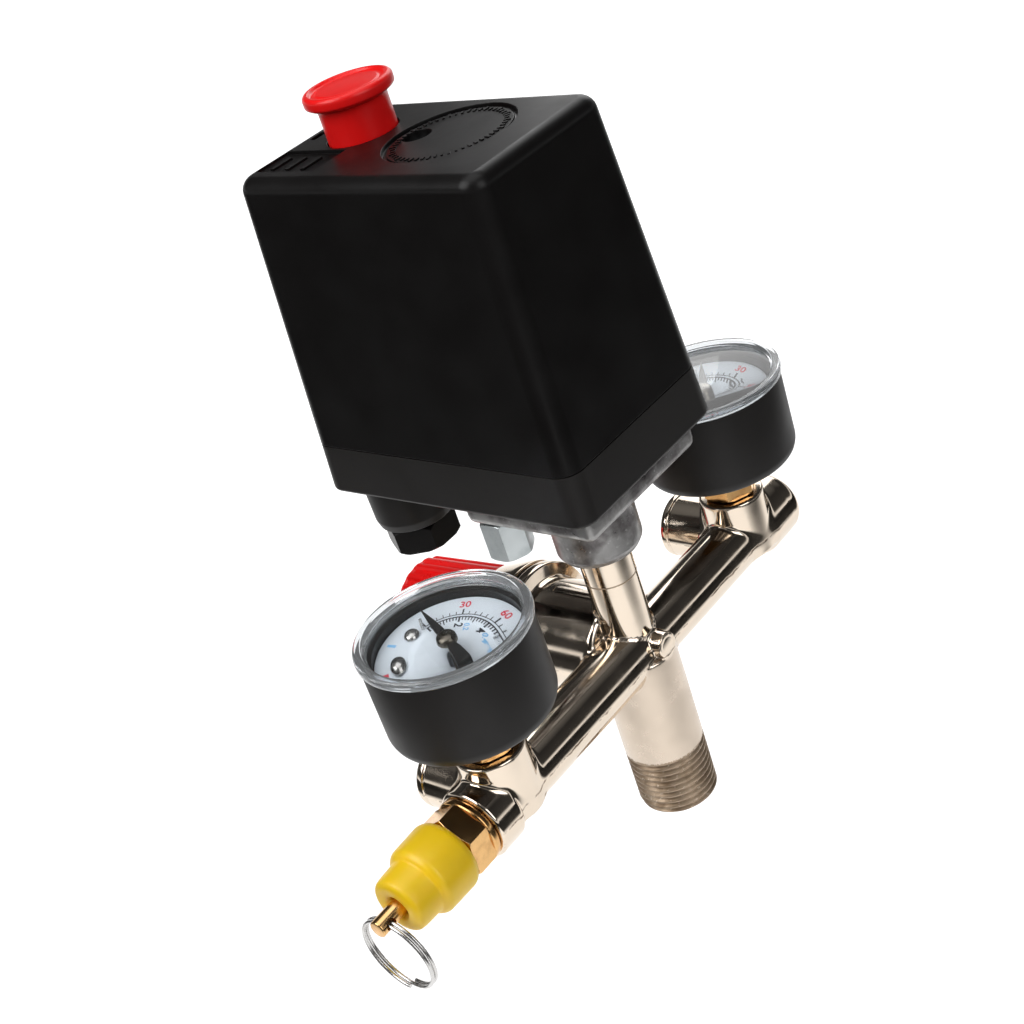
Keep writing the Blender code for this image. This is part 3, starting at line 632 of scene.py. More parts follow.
def machined(name, colour, roughness, stain, along=(1, 1, 1)):
    """Turned or drawn metal: fine lines, stains and a few pits."""
    paint = Paint(name, colour, metallic=1.0, roughness=roughness)
    paint.tint(paint.ramp(paint.noise(150, 5), 0.48, 0.78), stain)
    paint.tint(paint.spots(420, 0.05), [c * 0.4 for c in colour])
    paint.rougher(paint.ramp(paint.noise(300, 5), 0.3, 0.7, -0.05, 0.09))
    paint.raise_by(paint.noise(900, 3, along), 0.006)
    paint.raise_by(paint.noise(110, 2), 0.02)
    return paint.done()


def die_cast_paint():
    """Raw zinc casting: dull, grainy and blotchy, with brighter rubbed patches."""
    paint = Paint("die_cast", (0.33, 0.325, 0.32), metallic=0.85, roughness=0.36)
    paint.tint(paint.ramp(paint.noise(130, 6), 0.44, 0.62), (0.13, 0.12, 0.12))
    paint.tint(paint.ramp(paint.noise(700, 5), 0.62, 0.76), (0.55, 0.55, 0.54))
    paint.rougher(paint.ramp(paint.noise(420, 5), 0.3, 0.7, -0.10, 0.15))
    paint.raise_by(paint.noise(900, 5), 0.05)
    paint.raise_by(paint.noise(160, 3), 0.10)
    return paint.done()


def dial_paint():
    """White enamel, faintly cloudy."""
    paint = Paint("dial_white", (0.74, 0.79, 0.86), roughness=0.5)
    paint.tint(paint.ramp(paint.noise(120, 3), 0.5, 0.8), (0.68, 0.73, 0.81))
    paint.raise_by(paint.noise(2200, 2), 0.004)
    return paint.done()


def ink(name, colour):
    """Printing ink, a little thin in places."""
    paint = Paint(name, colour, roughness=0.55)
    paint.tint(paint.ramp(paint.noise(900, 3), 0.5, 0.75), [c + (0.5 - c) * 0.25 for c in colour])
    return paint.done()


def lens_paint(name, colour, roughness, clearness):
    """Clear plastic that lets light through to the dial, with a faintly scuffed face."""
    paint = Paint(name, colour, roughness=roughness, Transmission_Weight=clearness, IOR=1.46)
    paint.rougher(paint.ramp(paint.noise(220, 5), 0.5, 0.9, 0.0, 0.05))
    paint.raise_by(paint.noise(40, 2), 0.01)
    material = paint.done()
    clear = paint.node("BsdfTransparent")
    clear.inputs[0].default_value = (0.93, 0.95, 0.95, 1)
    mix = paint.node("MixShader")
    paint.link(paint.node("LightPath").outputs["Is Shadow Ray"], mix.inputs[0])
    paint.link(paint.shader.outputs[0], mix.inputs[1])
    paint.link(clear.outputs[0], mix.inputs[2])
    paint.link(mix.outputs[0], paint.tree.nodes["Material Output"].inputs["Surface"])
    return material


def make_paints():
    """All finishes by name."""
    return {
        "cover": moulded("satin_black", (0.0050, 0.0044, 0.0044), 0.34, 0.0016, (0.08, 0.08, 0.08), 95,
                         Specular_IOR_Level=0.2),
        "case": moulded("case_black", (0.011, 0.0095, 0.009), 0.45, 0.003, (0.14, 0.14, 0.14), 140,
                        Specular_IOR_Level=0.3),
        "red": moulded("moulded_red", (0.84, 0.007, 0.007), 0.30, 0.002, (0.80, 0.12, 0.10), 300,
                       Specular_IOR_Level=0.35),
        "yellow": moulded("moulded_yellow", (1.0, 0.60, 0.006), 0.40, 0.003, (0.66, 0.40, 0.03), 320,
                          Subsurface_Weight=0.12),
        "beige": moulded("moulded_beige", (0.60, 0.54, 0.43), 0.45, 0.002),
        "nickel": nickel_paint("nickel_plate", (0.75, 0.645, 0.53), 0.09),
        "thread": thread_paint(),
        "die_cast": die_cast_paint(),
        "zinc": machined("zinc_plate", (0.74, 0.79, 0.80), 0.34, (0.50, 0.56, 0.57)),
        "steel": machined("bright_steel", (0.62, 0.61, 0.60), 0.22, (0.42, 0.40, 0.38)),
        "brass": machined("drawn_brass", (0.74, 0.45, 0.19), 0.17, (0.50, 0.25, 0.09), (1, 0.1, 0.1)),
        "dial": dial_paint(),
        "ink_black": ink("ink_black", (0.02, 0.02, 0.03)),
        "ink_red": ink("ink_red", (0.62, 0.03, 0.06)),
        "ink_blue": ink("ink_blue", (0.20, 0.48, 0.80)),
        "pointer": moulded("pointer_black", (0.014, 0.013, 0.013), 0.42, 0.002),
        "hub": machined("pointer_hub", (0.22, 0.20, 0.17), 0.25, (0.10, 0.08, 0.06)),
        "lens": lens_paint("clear_lens", (0.97, 0.98, 0.98), 0.02, 1.0),
        "lens_rim": lens_paint("lens_rim", (0.86, 0.88, 0.90), 0.05, 0.93),
        "rubber": moulded("rubber_black", (0.022, 0.022, 0.022), 0.75, 0.006),
    }


# ---- manifold

def nipple_thread():
    """The lower end with its helical thread, as one closed skin with the bore."""
    turns_of_grid = 96
    rows = 150
    shape = bmesh.new()
    top = THREAD_TOP + 0.3
    rings = []
    for row in range(rows + 1):
        z = top * row / rows
        ring = []
        for step in range(turns_of_grid):
            angle = 2 * math.pi * step / turns_of_grid
            phase = (z / THREAD_PITCH - step / turns_of_grid) % 1.0
            tooth = abs(phase - 0.5) * 2
            depth = 0.8 * min(max((tooth - 0.2) / 0.7, 0.0), 1.0)
            runout = min(max((THREAD_TOP - z) / 1.2, 0.0), 1.0)
            reach = min(NIPPLE_R - depth * runout, 8.9 + z * 1.1)
            ring.append(shape.verts.new((reach * math.cos(angle), reach * math.sin(angle), z)))
        rings.append(ring)
    for radius, z in ((7.4, top), (NIPPLE_BORE_R, top), (NIPPLE_BORE_R, 0.4), (NIPPLE_BORE_R + 0.4, 0.0)):
        rings.append([shape.verts.new((radius * math.cos(a), radius * math.sin(a), z))
                      for a in (2 * math.pi * s / turns_of_grid for s in range(turns_of_grid))])
    for lower, upper in zip(rings, rings[1:] + rings[:1]):
        for s in range(turns_of_grid):
            t = (s + 1) % turns_of_grid
            shape.faces.new((lower[s], lower[t], upper[t], upper[s]))
    return mesh_object(shape)


def manifold():
    """The casting, its thread and collars, and the pieces pressed into it."""
    piece(casting_mesh(), "manifold_casting", "nickel", replaces=["manifold_body"], smooth_deg=0)
    piece(nipple_thread(), "nipple_thread", "thread", smooth_deg=55)
    for x, side in ((SUPPLY_X, "supply"), (OUTLET_X, "outlet")):
        collar = lathe([(STUB_R - 0.35, 16.6), (STUB_R - 0.35, 17.5), (STUB_R, 17.7), (STUB_R, STUB_END, 0.5),
                        (STUB_BORE_R + 0.9, STUB_END, 0.2), (STUB_BORE_R, STUB_END - 0.9),
                        (STUB_BORE_R, 16.6)], (x, 0, BAR_Z), ALONG_FRONT, ring=True)
        piece(collar, side + "_outlet_collar", "nickel")
    # A thin dark ring in the worn thread finish where the pipe has a groove: worn metal, and painted shade
    # that stands in for the groove, which is not cut.
    line = lathe([(PIPE_R + 0.03, 70.3), (PIPE_R + 0.03, 70.7), (PIPE_R - 0.5, 70.7), (PIPE_R - 0.5, 70.3)],
                 ring=True, radius=0.02)
    piece(line, "pipe_groove_shade_ring", "thread")
    spigot = lathe([(0, 91), (6.0, 91), (6.0, PIPE_TOP - 0.5), (0, PIPE_TOP - 0.5)])
    piece(spigot, "pipe_spigot", "nickel")
    flange = lathe([(10.0, 30), (17.6, 30, 0.5), (17.6, 27.2, 0.5), (14.2, 26.2), (14.0, 24.5), (10.0, 24.5)],
                   (0, 0, BAR_Z), ALONG_FRONT, steps=128, ring=True)
    piece(flange, "regulator_flange", "nickel")
    seat = (PLUG_AT[0], 0, PLUG_AT[1])
    plug = lathe([(0, PLUG_END + 0.04), (2.1, PLUG_END + 0.04, 0.1), (2.1, 5.0), (0, 5.0)], seat, ALONG_BACK,
                 steps=64)
    piece(plug, "valve_plug", "nickel", replaces=["regulator_valve_plug"])


# ---- regulator

def flutes(count, depth, start, end):
    """Rounded square flutes that fade out at both ends."""
    def ripple(angle, height):
        wave = math.cos(count * angle)
        square = wave / math.sqrt(wave * wave + 0.08)
        fade = min(max((height - start) / 1.2, 0), max((end - height) / 1.2, 0), 1)
        return 1 - depth * fade * (0.5 - 0.5 * square)
    return ripple


def regulator():
    """The bonnet and the fluted knob."""
    axis = (0, 0, BAR_Z)
    bonnet = lathe([(3.4, 54), (9.2, 54), (9.2, 42.6, 0.6), (14.4, 42.6, 1.0), (15.0, 41.8),
                    (17.2, 33.6, 0.8), (17.4, 31.6, 0.4), (12.0, 31.6), (12.0, 38.0), (7.6, 41.0),
                    (7.6, 51.8), (3.4, 51.8)], axis, ALONG_FRONT, steps=128, ring=True)
    piece(bonnet, "regulator_bonnet_shell", "nickel", replaces=["regulator_bonnet"])
    outline = [(0, 71.3), (8.4, 71.3), (8.8, 70.9), (9.4, 70.9), (9.8, 71.3), (12.3, 71.3, 0.9),
               (12.95, 70.2)]
    outline += [(12.95 + 1.15 * t, 70.2 - 26.0 * t) for t in (0.15, 0.4, 0.65, 0.9)]
    outline += [(14.1, 43.2, 0.8), (12.6, 43.2), (10.2, 44.2), (10.2, 55.5), (2.9, 55.5), (2.9, 66.6),
                (0, 66.6)]
    knob = lathe(outline, axis, ALONG_FRONT, steps=320, ripple=flutes(20, 0.088, 43.4, 71.3))
    piece(knob, "regulator_knob_cap", "red", "regulator_knob", ["regulator_knob"], 30)


# ---- gauges

def polar(radius, degrees, z=0.0):
    """The place at a radius and an angle."""
    angle = math.radians(degrees)
    return Vector((radius * math.cos(angle), radius * math.sin(angle), z))


def bar_mark(shape, degrees, inner, outer, width, z, thick=0.03):
    """A tick as a thin block."""
    matrix = Matrix.Translation((0, 0, z)) @ Matrix.Rotation(math.radians(degrees), 4, "Z")
    matrix = matrix @ Matrix.Translation(((inner + outer) / 2, 0, 0))
    matrix = matrix @ Matrix.Diagonal((outer - inner, width, thick, 1))
    bmesh.ops.create_cube(shape, size=1.0, matrix=matrix)


def arc_mark(shape, start_deg, end_deg, inner, outer, z, parts=90):
    """A printed arc as a very thin curved block."""
    rings = []
    for i in range(parts + 1):
        degrees = start_deg + (end_deg - start_deg) * i / parts
        rings.append([shape.verts.new(polar(r, degrees, h)) for r, h in
                      ((inner, z - 0.015), (outer, z - 0.015), (outer, z + 0.015), (inner, z + 0.015))])
    for a, b in zip(rings, rings[1:]):
        for i in range(4):
            j = (i + 1) % 4
            shape.faces.new((a[i], a[j], b[j], b[i]))
    shape.faces.new(rings[0])
    shape.faces.new(rings[-1][::-1])


def numeral(text, size, degrees, radius, z, up_deg=None):
    """A printed number. Its top faces outwards, or in the up_deg direction."""
    curve = bpy.data.curves.new("numeral", "FONT")
    curve.body = text
    curve.size = size * MM
    curve.extrude = 0.015 * MM
    curve.offset = 0.018 * size * MM
    curve.resolution_u = 3
    curve.align_x = "CENTER"
    curve.align_y = "CENTER"
    mesh = curve_mesh(curve)
    up = degrees if up_deg is None else up_deg
    spin = Matrix.Rotation(math.radians(up - 90), 4, "Z")
    mesh.transform(Matrix.Translation(polar(radius, degrees, z) * MM) @ spin)
    return mesh


def printed(shape, meshes, at):
    """Ticks in millimetres and numbers in metres, as one object on the dial."""
    obj = mesh_object(shape)
    merged = bmesh.new()
    merged.from_mesh(obj.data)
    for mesh in meshes:
        merged.from_mesh(mesh)
        bpy.data.meshes.remove(mesh)
    bmesh.ops.remove_doubles(merged, verts=merged.verts[:], dist=WELD)
    merged.to_mesh(obj.data)
    merged.free()
    return moved(obj, at)


def dial_print(prefix, at, zero_deg):
    """A pound scale outside with red numbers, and a metric scale inside with black and blue ones."""
    z = DIAL_Z + 0.02
    zero = zero_deg + 4.5
    upright = zero + 225
    per_unit = SCALE_DEG / METRIC_UNITS
    black = bmesh.new()
    arc_mark(black, zero, zero - SCALE_DEG, 10.75, 10.95, z)
    arc_mark(black, zero, zero - SCALE_DEG, 9.95, 10.25, z)
    for pounds in range(0, 171, 5):
        long_mark = pounds % 30 == 0
        bar_mark(black, zero - pounds * POUND_DEG, 10.85, 12.5 if long_mark else 11.8,
                 0.34 if long_mark else 0.18, z)
    for fifth in range(5 * METRIC_UNITS + 1):
        whole = fifth % 5 == 0
        bar_mark(black, zero - fifth * per_unit / 5, 8.6 if whole else 9.1, 10.1,
                 0.4 if fifth % 10 == 0 else 0.24, z)
    numbers = [numeral(str(unit), 2.6, zero - unit * per_unit, METRIC_NUMBER_R, z, upright)
               for unit in range(2, METRIC_UNITS + 1, 2)]
    piece(printed(black, numbers, at), prefix + "_print_black", "ink_black", smooth_deg=0)
    red = bmesh.new()
    bar_mark(red, zero + 68, 13.4, 15.2, 0.6, z)
    numbers = [numeral(str(pounds), 2.6, zero - pounds * POUND_DEG, POUND_NUMBER_R, z)
               for pounds in range(30, 151, 30)]
    piece(printed(red, numbers, at), prefix + "_print_red", "ink_red", smooth_deg=0)
    blue = bmesh.new()
    bar_mark(blue, zero + 36, 13.0, 15.0, 0.7, z)
    numbers = [numeral(f"{tenth / 10:.1f}", 1.7, zero - tenth * per_unit - 15, DECIMAL_NUMBER_R, z, upright)
               for tenth in range(2, 11, 2)]
    piece(printed(blue, numbers, at), prefix + "_print_blue", "ink_blue", smooth_deg=0)


def gauge(prefix, x, zero_deg, pointer_body):
    """One gauge from its case to its stem. The pointer rests at zero_deg."""
    at = (x, BAR_Y, 0)
    case = lathe([(18.5, 93.8), (20.0, 93.8, 0.3), (20.0, 74.2, 0.6), (19.4, 72.4, 1.4), (17.6, 71.5, 0.8),
                  (5.3, 71.5), (5.3, 73.2), (18.5, 73.2), (18.5, 88.4), (16.6, 88.4), (16.6, 92.0, 0.3),
                  (18.5, 92.0)], at, steps=160, ring=True)
    piece(case, prefix + "_shell", "case", replaces=[prefix + "_case"])
    window = lathe([(0, 94.9), (17.9, 94.9), (17.9, 94.2), (0, 94.2)], at, steps=160, radius=0.05)
    piece(window, prefix + "_window", "lens", replaces=[prefix + "_lens"])
    rim = lathe([(17.95, 95.2, 0.1), (18.6, 96.1, 0.3), (20.1, 96.1, 0.4), (20.6, 95.5, 0.4),
                 (20.6, 94.1, 0.2), (18.2, 94.1, 0.1), (18.2, 92.4, 0.15), (17.5, 92.4, 0.15),
                 (17.5, 93.8, 0.1), (17.95, 93.8, 0.1)], at, steps=160, ring=True)
    piece(rim, prefix + "_window_rim", "lens_rim")
    dial = lathe([(1.3, DIAL_Z), (DIAL_R, DIAL_Z, 0.1), (DIAL_R, DIAL_Z - 0.6, 0.1),
                  (1.3, DIAL_Z - 0.6)], at, steps=128, ring=True, radius=0.05)
    piece(dial, prefix + "_face", "dial", replaces=[prefix + "_dial"])
    stop = lathe([(0, DIAL_Z + 2.8), (0.35, DIAL_Z + 2.8, 0.2), (0.35, DIAL_Z - 0.4), (0, DIAL_Z - 0.4)],
                 Vector(at) + polar(STOP_PIN_R, zero_deg + 9), steps=24)
    piece(stop, prefix + "_stop_pin", "steel")
    dial_print(prefix, at, zero_deg)
    for side, letter in ((-1, "a"), (1, "b")):
        spot = Vector(at) + polar(SCREW_CIRCLE_R, zero_deg + 45 + side * SCREW_ARC_DEG)
        screw = lathe([(0, DIAL_Z + 1.15), (0.7, DIAL_Z + 1.1, 0.4), (1.5, DIAL_Z + 0.75, 0.4),
                       (1.8, DIAL_Z + 0.1, 0.1), (0, DIAL_Z + 0.1)], spot, steps=48)
        piece(screw, f"{prefix}_screw_{letter}", "steel",
              replaces=[f"{prefix}_dial_screw_{letter}"], smooth_deg=60)
    pointer(prefix, at, zero_deg, pointer_body)
    stem_nut(prefix, at)


def pointer(prefix, at, zero_deg, body):
    """A needle that tapers to its tip, with a broad tail, and a domed hub on the arbor."""
    half = [(-8.0, 1.6), (-4.4, 1.3), (-2.2, 0.9), (0.0, 0.9), (4.0, 1.0), (8.0, 0.72),
            (NEEDLE_LENGTH, 0.08)]
    shape = bmesh.new()
    outline = half + [(x, -y) for x, y in reversed(half)]
    lower = [shape.verts.new((x, y, POINTER_Z)) for x, y in outline]
    upper = [shape.verts.new((x, y, POINTER_Z + 0.4)) for x, y in outline]
    shape.faces.new(lower[::-1])
    shape.faces.new(upper)
    for i in range(len(outline)):
        j = (i + 1) % len(outline)
        shape.faces.new((lower[i], lower[j], upper[j], upper[i]))
    needle = eased(mesh_object(shape), 0.06)
    moved(needle, at, Matrix.Rotation(math.radians(zero_deg), 4, "Z"))
    piece(needle, prefix + "_needle", "pointer", body, smooth_deg=0)
    hub = lathe([(0, 93.4), (1.2, 93.3, 0.5), (2.1, 92.8, 0.5), (2.3, 92.1, 0.2), (2.3, 91.6), (0.5, 91.6),
                 (0.5, 83.6), (0.8, 83.6), (0.8, 80.8), (0.5, 80.8), (0.5, 77.8), (0, 77.8)], at, steps=64,
                radius=0.1)
    piece(hub, prefix + "_hub", "hub", body, [prefix + "_pointer"])


def stem_nut(prefix, at):
    """The hexagon under the case and the shank that screws into the boss."""
    stem = eased(hex_nut(7.2, 61.8, 71.2, at, chamfer=0.9), 0.15)
    piece(stem, prefix + "_stem_hex", "brass", replaces=[prefix + "_stem"], smooth_deg=0)
    shank = lathe([(0, 80), (2.6, 80), (4.9, 76.5), (4.9, 71.0), (4.7, 63), (4.7, 55.6), (0, 55.6)], at,
                  steps=48)
    piece(shank, prefix + "_stem_shank", "brass")


# ---- safety valve

def safety_valve():
    """Brass body, yellow cap and pull pin, all turned about the bar's axis."""
    line = (0, BAR_Y, BAR_Z)
    body = hex_nut(8.8, 69.1, 75.5, line, ALONG_X, chamfer=0.6, first_deg=30)
    piece(eased(body, 0.18), "relief_hex", "brass", replaces=["relief_body"], smooth_deg=0)
    collar = lathe([(0, 69.4), (8.0, 69.4, 0.2), (8.45, 69.0, 0.3), (8.45, 67.8, 0.3), (8.0, 67.3, 0.2),
                    (6.0, 67.3), (6.0, 58.3), (0, 58.3)], line, ALONG_X)
    piece(collar, "relief_shank", "brass")
    cap = lathe([(2.6, 92.9, 0.1), (3.3, 93.9, 0.3), (5.4, 94.0, 1.2), (6.9, 93.4, 1.2), (7.15, 91.6),
                 (7.35, 87.0, 0.4), (8.2, 86.5, 0.5), (8.95, 85.5, 0.9), (9.05, 82.0), (9.15, 77.0, 1.1),
                 (8.3, 75.6, 0.9), (7.3, 75.6), (7.3, 84.4), (5.3, 84.4), (5.3, 91.6), (2.6, 91.6)],
                line, ALONG_X, steps=128, ring=True, radius=0.4)
    piece(cap, "relief_cap_shell", "yellow", replaces=["relief_cap"])
    pin = lathe([(0, 100.6), (2.1, 100.6, 0.35), (2.1, 80.2), (4.3, 80.2), (4.3, 78.5), (0, 78.5)], line,
                ALONG_X, steps=64)
    hole = lathe([(0, 5), (1.9, 5), (1.35, 1.55), (1.35, -1.55), (1.9, -5), (0, -5)],
                 (RING_X, BAR_Y, BAR_Z), ALONG_FRONT, steps=48, radius=0.1)
    cut(pin, hole)
    piece(pin, "relief_pin", "brass", "relief_pin", ["relief_pull_pin"])
    split_ring()


def split_ring():
    """Two turns of wire, side by side, whose ends cross at the bottom."""
    per_turn = 64
    points = []
    for i in range(2 * per_turn + 1):
        angle = 2 * math.pi * i / per_turn - math.pi / 2
        turn = i / per_turn - 1
        shift = 0.5 * math.tanh(6 * turn) + 0.45 * turn ** 5
        across = BAR_Y + RING_R * math.cos(angle)
        points.append((RING_X + shift, across, BAR_Z + RING_R * math.sin(angle) - RING_R))
    ring = wire(points, RING_WIRE_R, "relief_split_ring")
    piece(ring, "relief_split_ring", "steel", "relief_ring", ["relief_ring"])


# ---- switch housing

def narrowed(half):
    """The half widths inside the wall."""
    return [h - WALL for h in half]


def base_housing():
    """The tray under the cover, with the neck of the cable gland."""
    base = tapered_block(BASE_HALF, SEAM_HALF, BASE_BOTTOM, SEAM_Z, 5.0, 0.0, 1.1)
    neck = lathe([(0, 105), (10.4, 105), (10.3, 92.6), (9.7, 90.3, 0.5), (7.1, 90.3), (7.1, 86.3),
                  (0, 86.3)], (*GLAND_AT, 0))
    fuse(base, neck)
    inner = tapered_block(narrowed(BASE_HALF), narrowed(SEAM_HALF), BASE_BOTTOM + WALL, SEAM_Z + 1, 3.0)
    cut(base, inner, prism(96, 17.4, 100, 110), prism(24, 2.2, 100, 110, (*UNLOADER_AT, 0)),
        prism(64, 6.0, 85, 110, (*GLAND_AT, 0)))
    piece(eased(base, 0.22), "base_housing_shell", "case", replaces=["base_housing"], smooth_deg=0)


def cover():
    """The tall cover with its screw, its two recesses and the hole for the power knob."""
    low = SEAM_Z + 0.3
    top = COVER_TOP
    shell = tapered_block(SEAM_HALF, TOP_HALF, low, top, 5.0, 3.2)
    inner = tapered_block(narrowed(SEAM_HALF), narrowed(TOP_HALF), low - 1, top - WALL, 3.0)
    well = (*WELL_AT, 0)
    cut(shell, inner)
    ring = lathe([(15.3, top + 1), (15.3, top - 1.0), (14.3, top - 1.0), (14.3, top + 1)], (*RECESS_AT, 0),
                 steps=160, ring=True, radius=0.0)
    cut(shell, ring, prism(160, 14.4, top - 0.5, top + 1, (*RECESS_AT, 0)))
    cut(shell, block((5.6, -52.0, top - 0.9), (16.6, -32.2, top + 1)),
        block((-4.6, -50.4, top - 1.2), (-0.4, -48.4, top + 1)),
        prism(96, 8.6, top - 4, top + 1, (*KNOB_AT, 0)))
    fuse(shell, prism(64, 5.2, top - 7.5, top - 1.5, well))
    cut(shell, prism(64, 3.4, top - 5.5, top + 1, well), prism(48, 2.2, top - 9, top, well))
    piece(eased(shell, 0.13), "cover_shell", "cover", replaces=["cover"], smooth_deg=0)
    screw = lathe([(0, 181.6), (2.2, 181.6, 0.5), (3.0, 181.0, 0.3), (3.0, 179.1), (1.6, 179.1), (1.6, 163),
                   (0, 163)], well, steps=64)
    cut(screw, block((-2.6, -0.35, 180.6), (2.6, 0.35, 182), well),
        block((-0.35, -2.6, 180.6), (0.35, 2.6, 182), well))
    piece(screw, "cover_screw_head", "zinc", replaces=["cover_screw"])


def cover_ticks():
    """Plain raised ticks in the two recesses, where the real cover is embossed."""
    shape = bmesh.new()
    floor = COVER_TOP - 0.5
    for i in range(RING_TICKS):
        bar_mark(shape, 360 * i / RING_TICKS, 12.2, 13.4 + 0.4 * (i % 3 == 0), 0.55, floor, 0.5)
    ring = moved(mesh_object(shape), (*RECESS_AT, 0))
    piece(ring, "cover_tick_ring", "cover", smooth_deg=0)
    for index, y in enumerate((-48.5, -43.5, -38.5)):
        tick = block((8.0, y - 0.6, COVER_TOP - 1.2), (14.2, y + 0.6, COVER_TOP - 0.45))
        piece(tick, f"cover_tick_{index}", "cover", smooth_deg=0)


def power_knob():
    """The red button with its flared top, on a long stem."""
    knob = lathe([(0, 195.6), (7.2, 195.6), (7.6, 195.3), (8.6, 195.3), (9.1, 196.0, 0.2), (10.0, 196.0, 0.5),
                  (10.6, 195.3, 0.4), (10.6, 193.4, 0.4), (9.7, 192.8, 0.4), (8.3, 192.4, 0.5), (8.2, 191.0),
                  (8.2, 176), (3.5, 175), (3.5, 131), (0, 131)], (*KNOB_AT, 0), steps=128)
    piece(knob, "power_knob_cap", "red", "power_knob", ["power_knob"])


def die_cast_base():
    """The zinc foot that clamps onto the pipe, and the unloader nut beside it."""
    plate = eased(block((-21, -18, 97), (22, 20, 103.8)), 2.2, 4)
    boss = lathe([(0, 106.2), (17.0, 106.2), (17.0, 102), (12.8, 96.6, 1.5), (10.8, 94, 1.2), (10.7, 90),
                  (10.7, 80.4, 0.6), (9.3, 78.5, 0.5), (6.3, 78.5), (6.3, 91.8), (0, 91.8)], steps=96)
    fuse(plate, boss)
    for degrees in (45, 135, 225, 315):
        spin = Matrix.Rotation(math.radians(degrees), 4, "Z")
        fuse(plate, block((8, -1.1, 92.5), (15.5, 1.1, 98), turn=spin))
    unloader = (*UNLOADER_AT, 0)
    cut(plate, prism(64, 13.0, 101, 107), prism(24, 2.0, 90, 102), prism(24, 1.6, 96, 105, unloader))
    piece(eased(plate, 0.3), "die_cast_body", "die_cast", replaces=["die_cast_base"], smooth_deg=0)
    nut = hex_nut(5.8, 86.6, 96.7, unloader, chamfer=0.7)
    cut(nut, prism(48, 3.3, 86, 90.5, unloader), prism(24, 1.9, 86, 98, unloader))
    piece(eased(nut, 0.15), "unloader_hex", "zinc", replaces=["unloader_nut"], smooth_deg=0)


def cable_gland():
    """The gland nut and the rubber bush inside it."""
    at = (*GLAND_AT, 0)
    nut = hex_nut(9.6, 83.0, 90.0, at, chamfer=1.3, first_deg=30)
    cut(nut, prism(64, 7.4, 84.6, 91, at), prism(64, 5.0, 82, 86, at))
    piece(eased(nut, 0.2), "gland_hex", "cover", replaces=["gland_nut"], smooth_deg=0)
    seal = lathe([(5.7, 95), (5.7, 84.9), (4.0, 84.9, 0.6), (4.0, 95, 0.6)], at, ring=True)
    piece(seal, "gland_bush", "rubber", replaces=["gland_seal"])


def inner_pieces(frame):
    """The pieces inside keep their CAD meshes, with proper finishes."""
    by_slot = {"black_plastic": "case", "red_plastic": "red", "beige_plastic": "beige",
               "yellow_plastic": "yellow", "clear_plastic": "lens", "black_paint": "pointer",
               "white_print": "dial"}
    for row in frame["record"]["subparts"]:
        node = frame["nodes"][row["node"]]
        if not node.hide_render:
            node.data.materials.clear()
            slot = row["material_slot"]
            node.data.materials.append(PAINTS[by_slot.get(slot, slot)])


# ---- stage

def softbox(name, at, size, watts):
    """A white rectangle of light that faces the object."""
    light = bpy.data.lights.new(name, "AREA")
    light.shape = "RECTANGLE"
    light.size, light.size_y = size
    light.energy = watts
    obj = added(name, light)
    obj.location = at
    obj.rotation_euler = (Vector(LIT_POINT) - Vector(at)).to_track_quat("-Z", "Y").to_euler()


def room_light():
    """White round the horizon and dark above it."""
    world = bpy.data.worlds.new("studio")
    bpy.context.scene.world = world
    world.use_nodes = True
    tree = world.node_tree
    place = tree.nodes.new("ShaderNodeTexCoord")
    split = tree.nodes.new("ShaderNodeSeparateXYZ")
    ramp = tree.nodes.new("ShaderNodeValToRGB")
    tree.links.new(place.outputs["Generated"], split.inputs[0])
    tree.links.new(split.outputs[2], ramp.inputs[0])
    tree.links.new(ramp.outputs[0], tree.nodes["Background"].inputs[0])
    for position, _ in ROOM_STEPS[1:-1]:
        ramp.color_ramp.elements.new(position)
    for element, (_, level) in zip(ramp.color_ramp.elements, ROOM_STEPS):
        element.color = (level, level, level, 1)


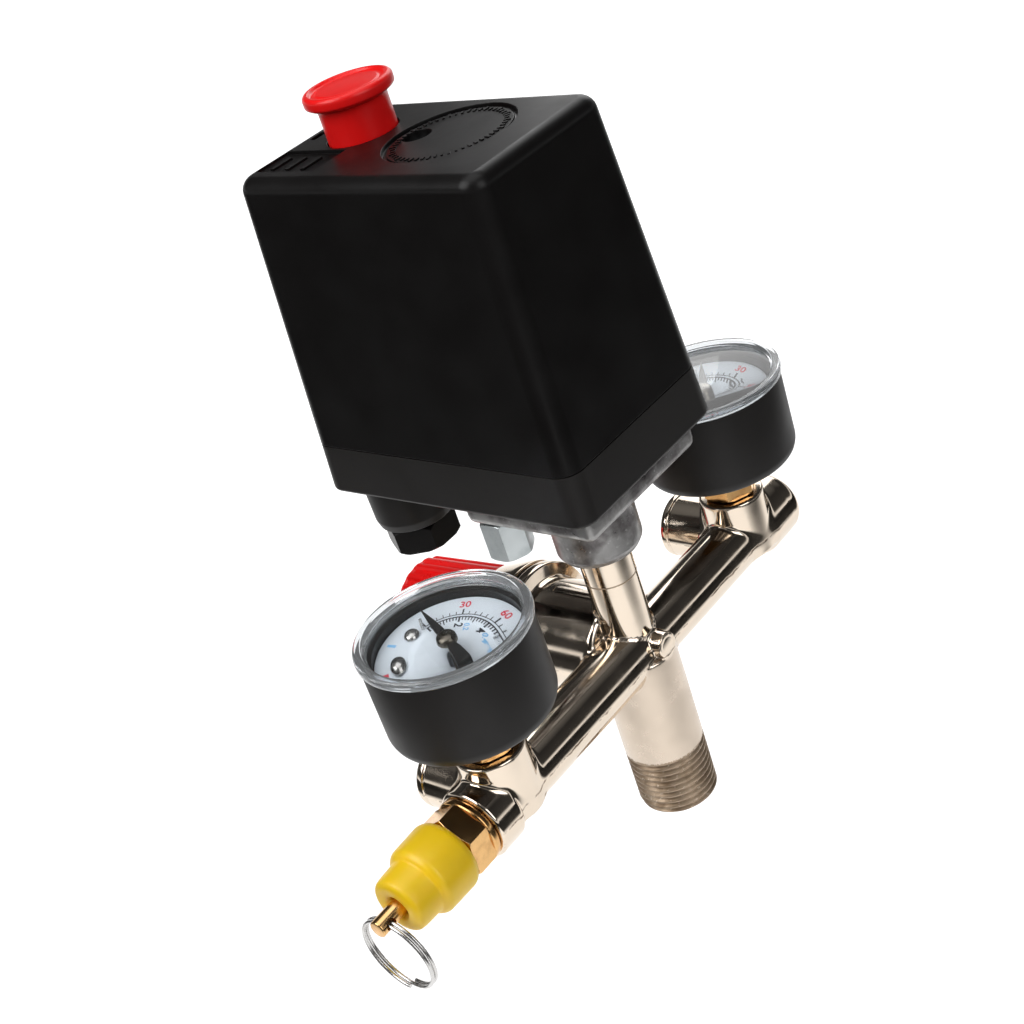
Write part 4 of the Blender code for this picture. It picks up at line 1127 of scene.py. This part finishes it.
def floor_paint():
    """White, and brighter further out. The two sides are dark for every ray but the camera's own, as black
    screens beside a set would be, so that the black plastic has something dark to mirror."""
    paint = Paint("pale_floor", (0.93, 0.93, 0.93), roughness=0.9)
    paint.tint(paint.ramp(paint.noise(2, 2), 0.4, 0.8, 0, 0.3), (0.91, 0.91, 0.91))
    x, y = paint.axis(0), paint.axis(1)
    away = paint.math("ADD", paint.math("ABSOLUTE", x), paint.math("ABSOLUTE", y))
    sideways = paint.math("ABSOLUTE", paint.math("SUBTRACT", x, y))
    backward = paint.math("MULTIPLY", paint.math("ADD", x, y), 0.42)
    screens = paint.ramp(paint.math("ADD", sideways, backward), 0.62, 0.85)
    seen = paint.node("LightPath").outputs["Is Camera Ray"]
    dark = paint.math("MULTIPLY", screens, paint.math("SUBTRACT", 1.0, seen))
    paint.tint(dark, (0.02, 0.02, 0.02))
    # Painted light: the floor glows white, from 0.35 under the set to 1.0 further out, and less where the
    # screens are dark.
    glow = paint.math("MULTIPLY", paint.ramp(away, 0.4, 2.4, 0.35, 1.0), paint.math("SUBTRACT", 1.0, dark))
    paint.feed(glow, paint.shader.inputs["Emission Strength"])
    paint.feed((1, 1, 1, 1), paint.shader.inputs["Emission Color"])
    return paint.done()


def room():
    """A pale floor, a dark room with a white horizon, and softboxes."""
    room_light()
    shape = bmesh.new()
    bmesh.ops.create_grid(shape, x_segments=1, y_segments=1, size=30000)
    floor = moved(mesh_object(shape, "floor"), (0, 0, FLOOR_Z))
    floor.data.materials.append(floor_paint())
    softbox("key", (0.9, -0.35, 1.05), (0.9, 0.9), 12)
    softbox("fill", (0.25, 1.15, 0.75), (0.7, 0.9), 5)
    softbox("back", (-1.1, -0.5, 0.8), (0.8, 1.0), 6)
    softbox("top", (0.0, 0.0, 1.7), (1.4, 1.4), 10)


def set_camera():
    data = bpy.data.cameras.new("camera")
    data.lens = CAMERA_LENS
    data.sensor_width = 36.0
    data.clip_end = 100.0
    camera = added("camera", data)
    camera.location = Vector(CAMERA_AT) * MM
    camera.rotation_euler = [math.radians(d) for d in CAMERA_TURN_DEG]
    bpy.context.scene.camera = camera
    bpy.context.scene.view_settings.view_transform = "Standard"


for leftover in list(bpy.data.objects):
    bpy.data.objects.remove(leftover, do_unlink=True)
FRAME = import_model()
set_camera()
room()
PAINTS = make_paints()
manifold()
regulator()
gauge("supply_gauge", SUPPLY_X, SUPPLY_ZERO_DEG, "supply_pointer")
gauge("outlet_gauge", OUTLET_X, OUTLET_ZERO_DEG, "outlet_pointer")
safety_valve()
base_housing()
cover()
cover_ticks()
power_knob()
die_cast_base()
cable_gland()
inner_pieces(FRAME)
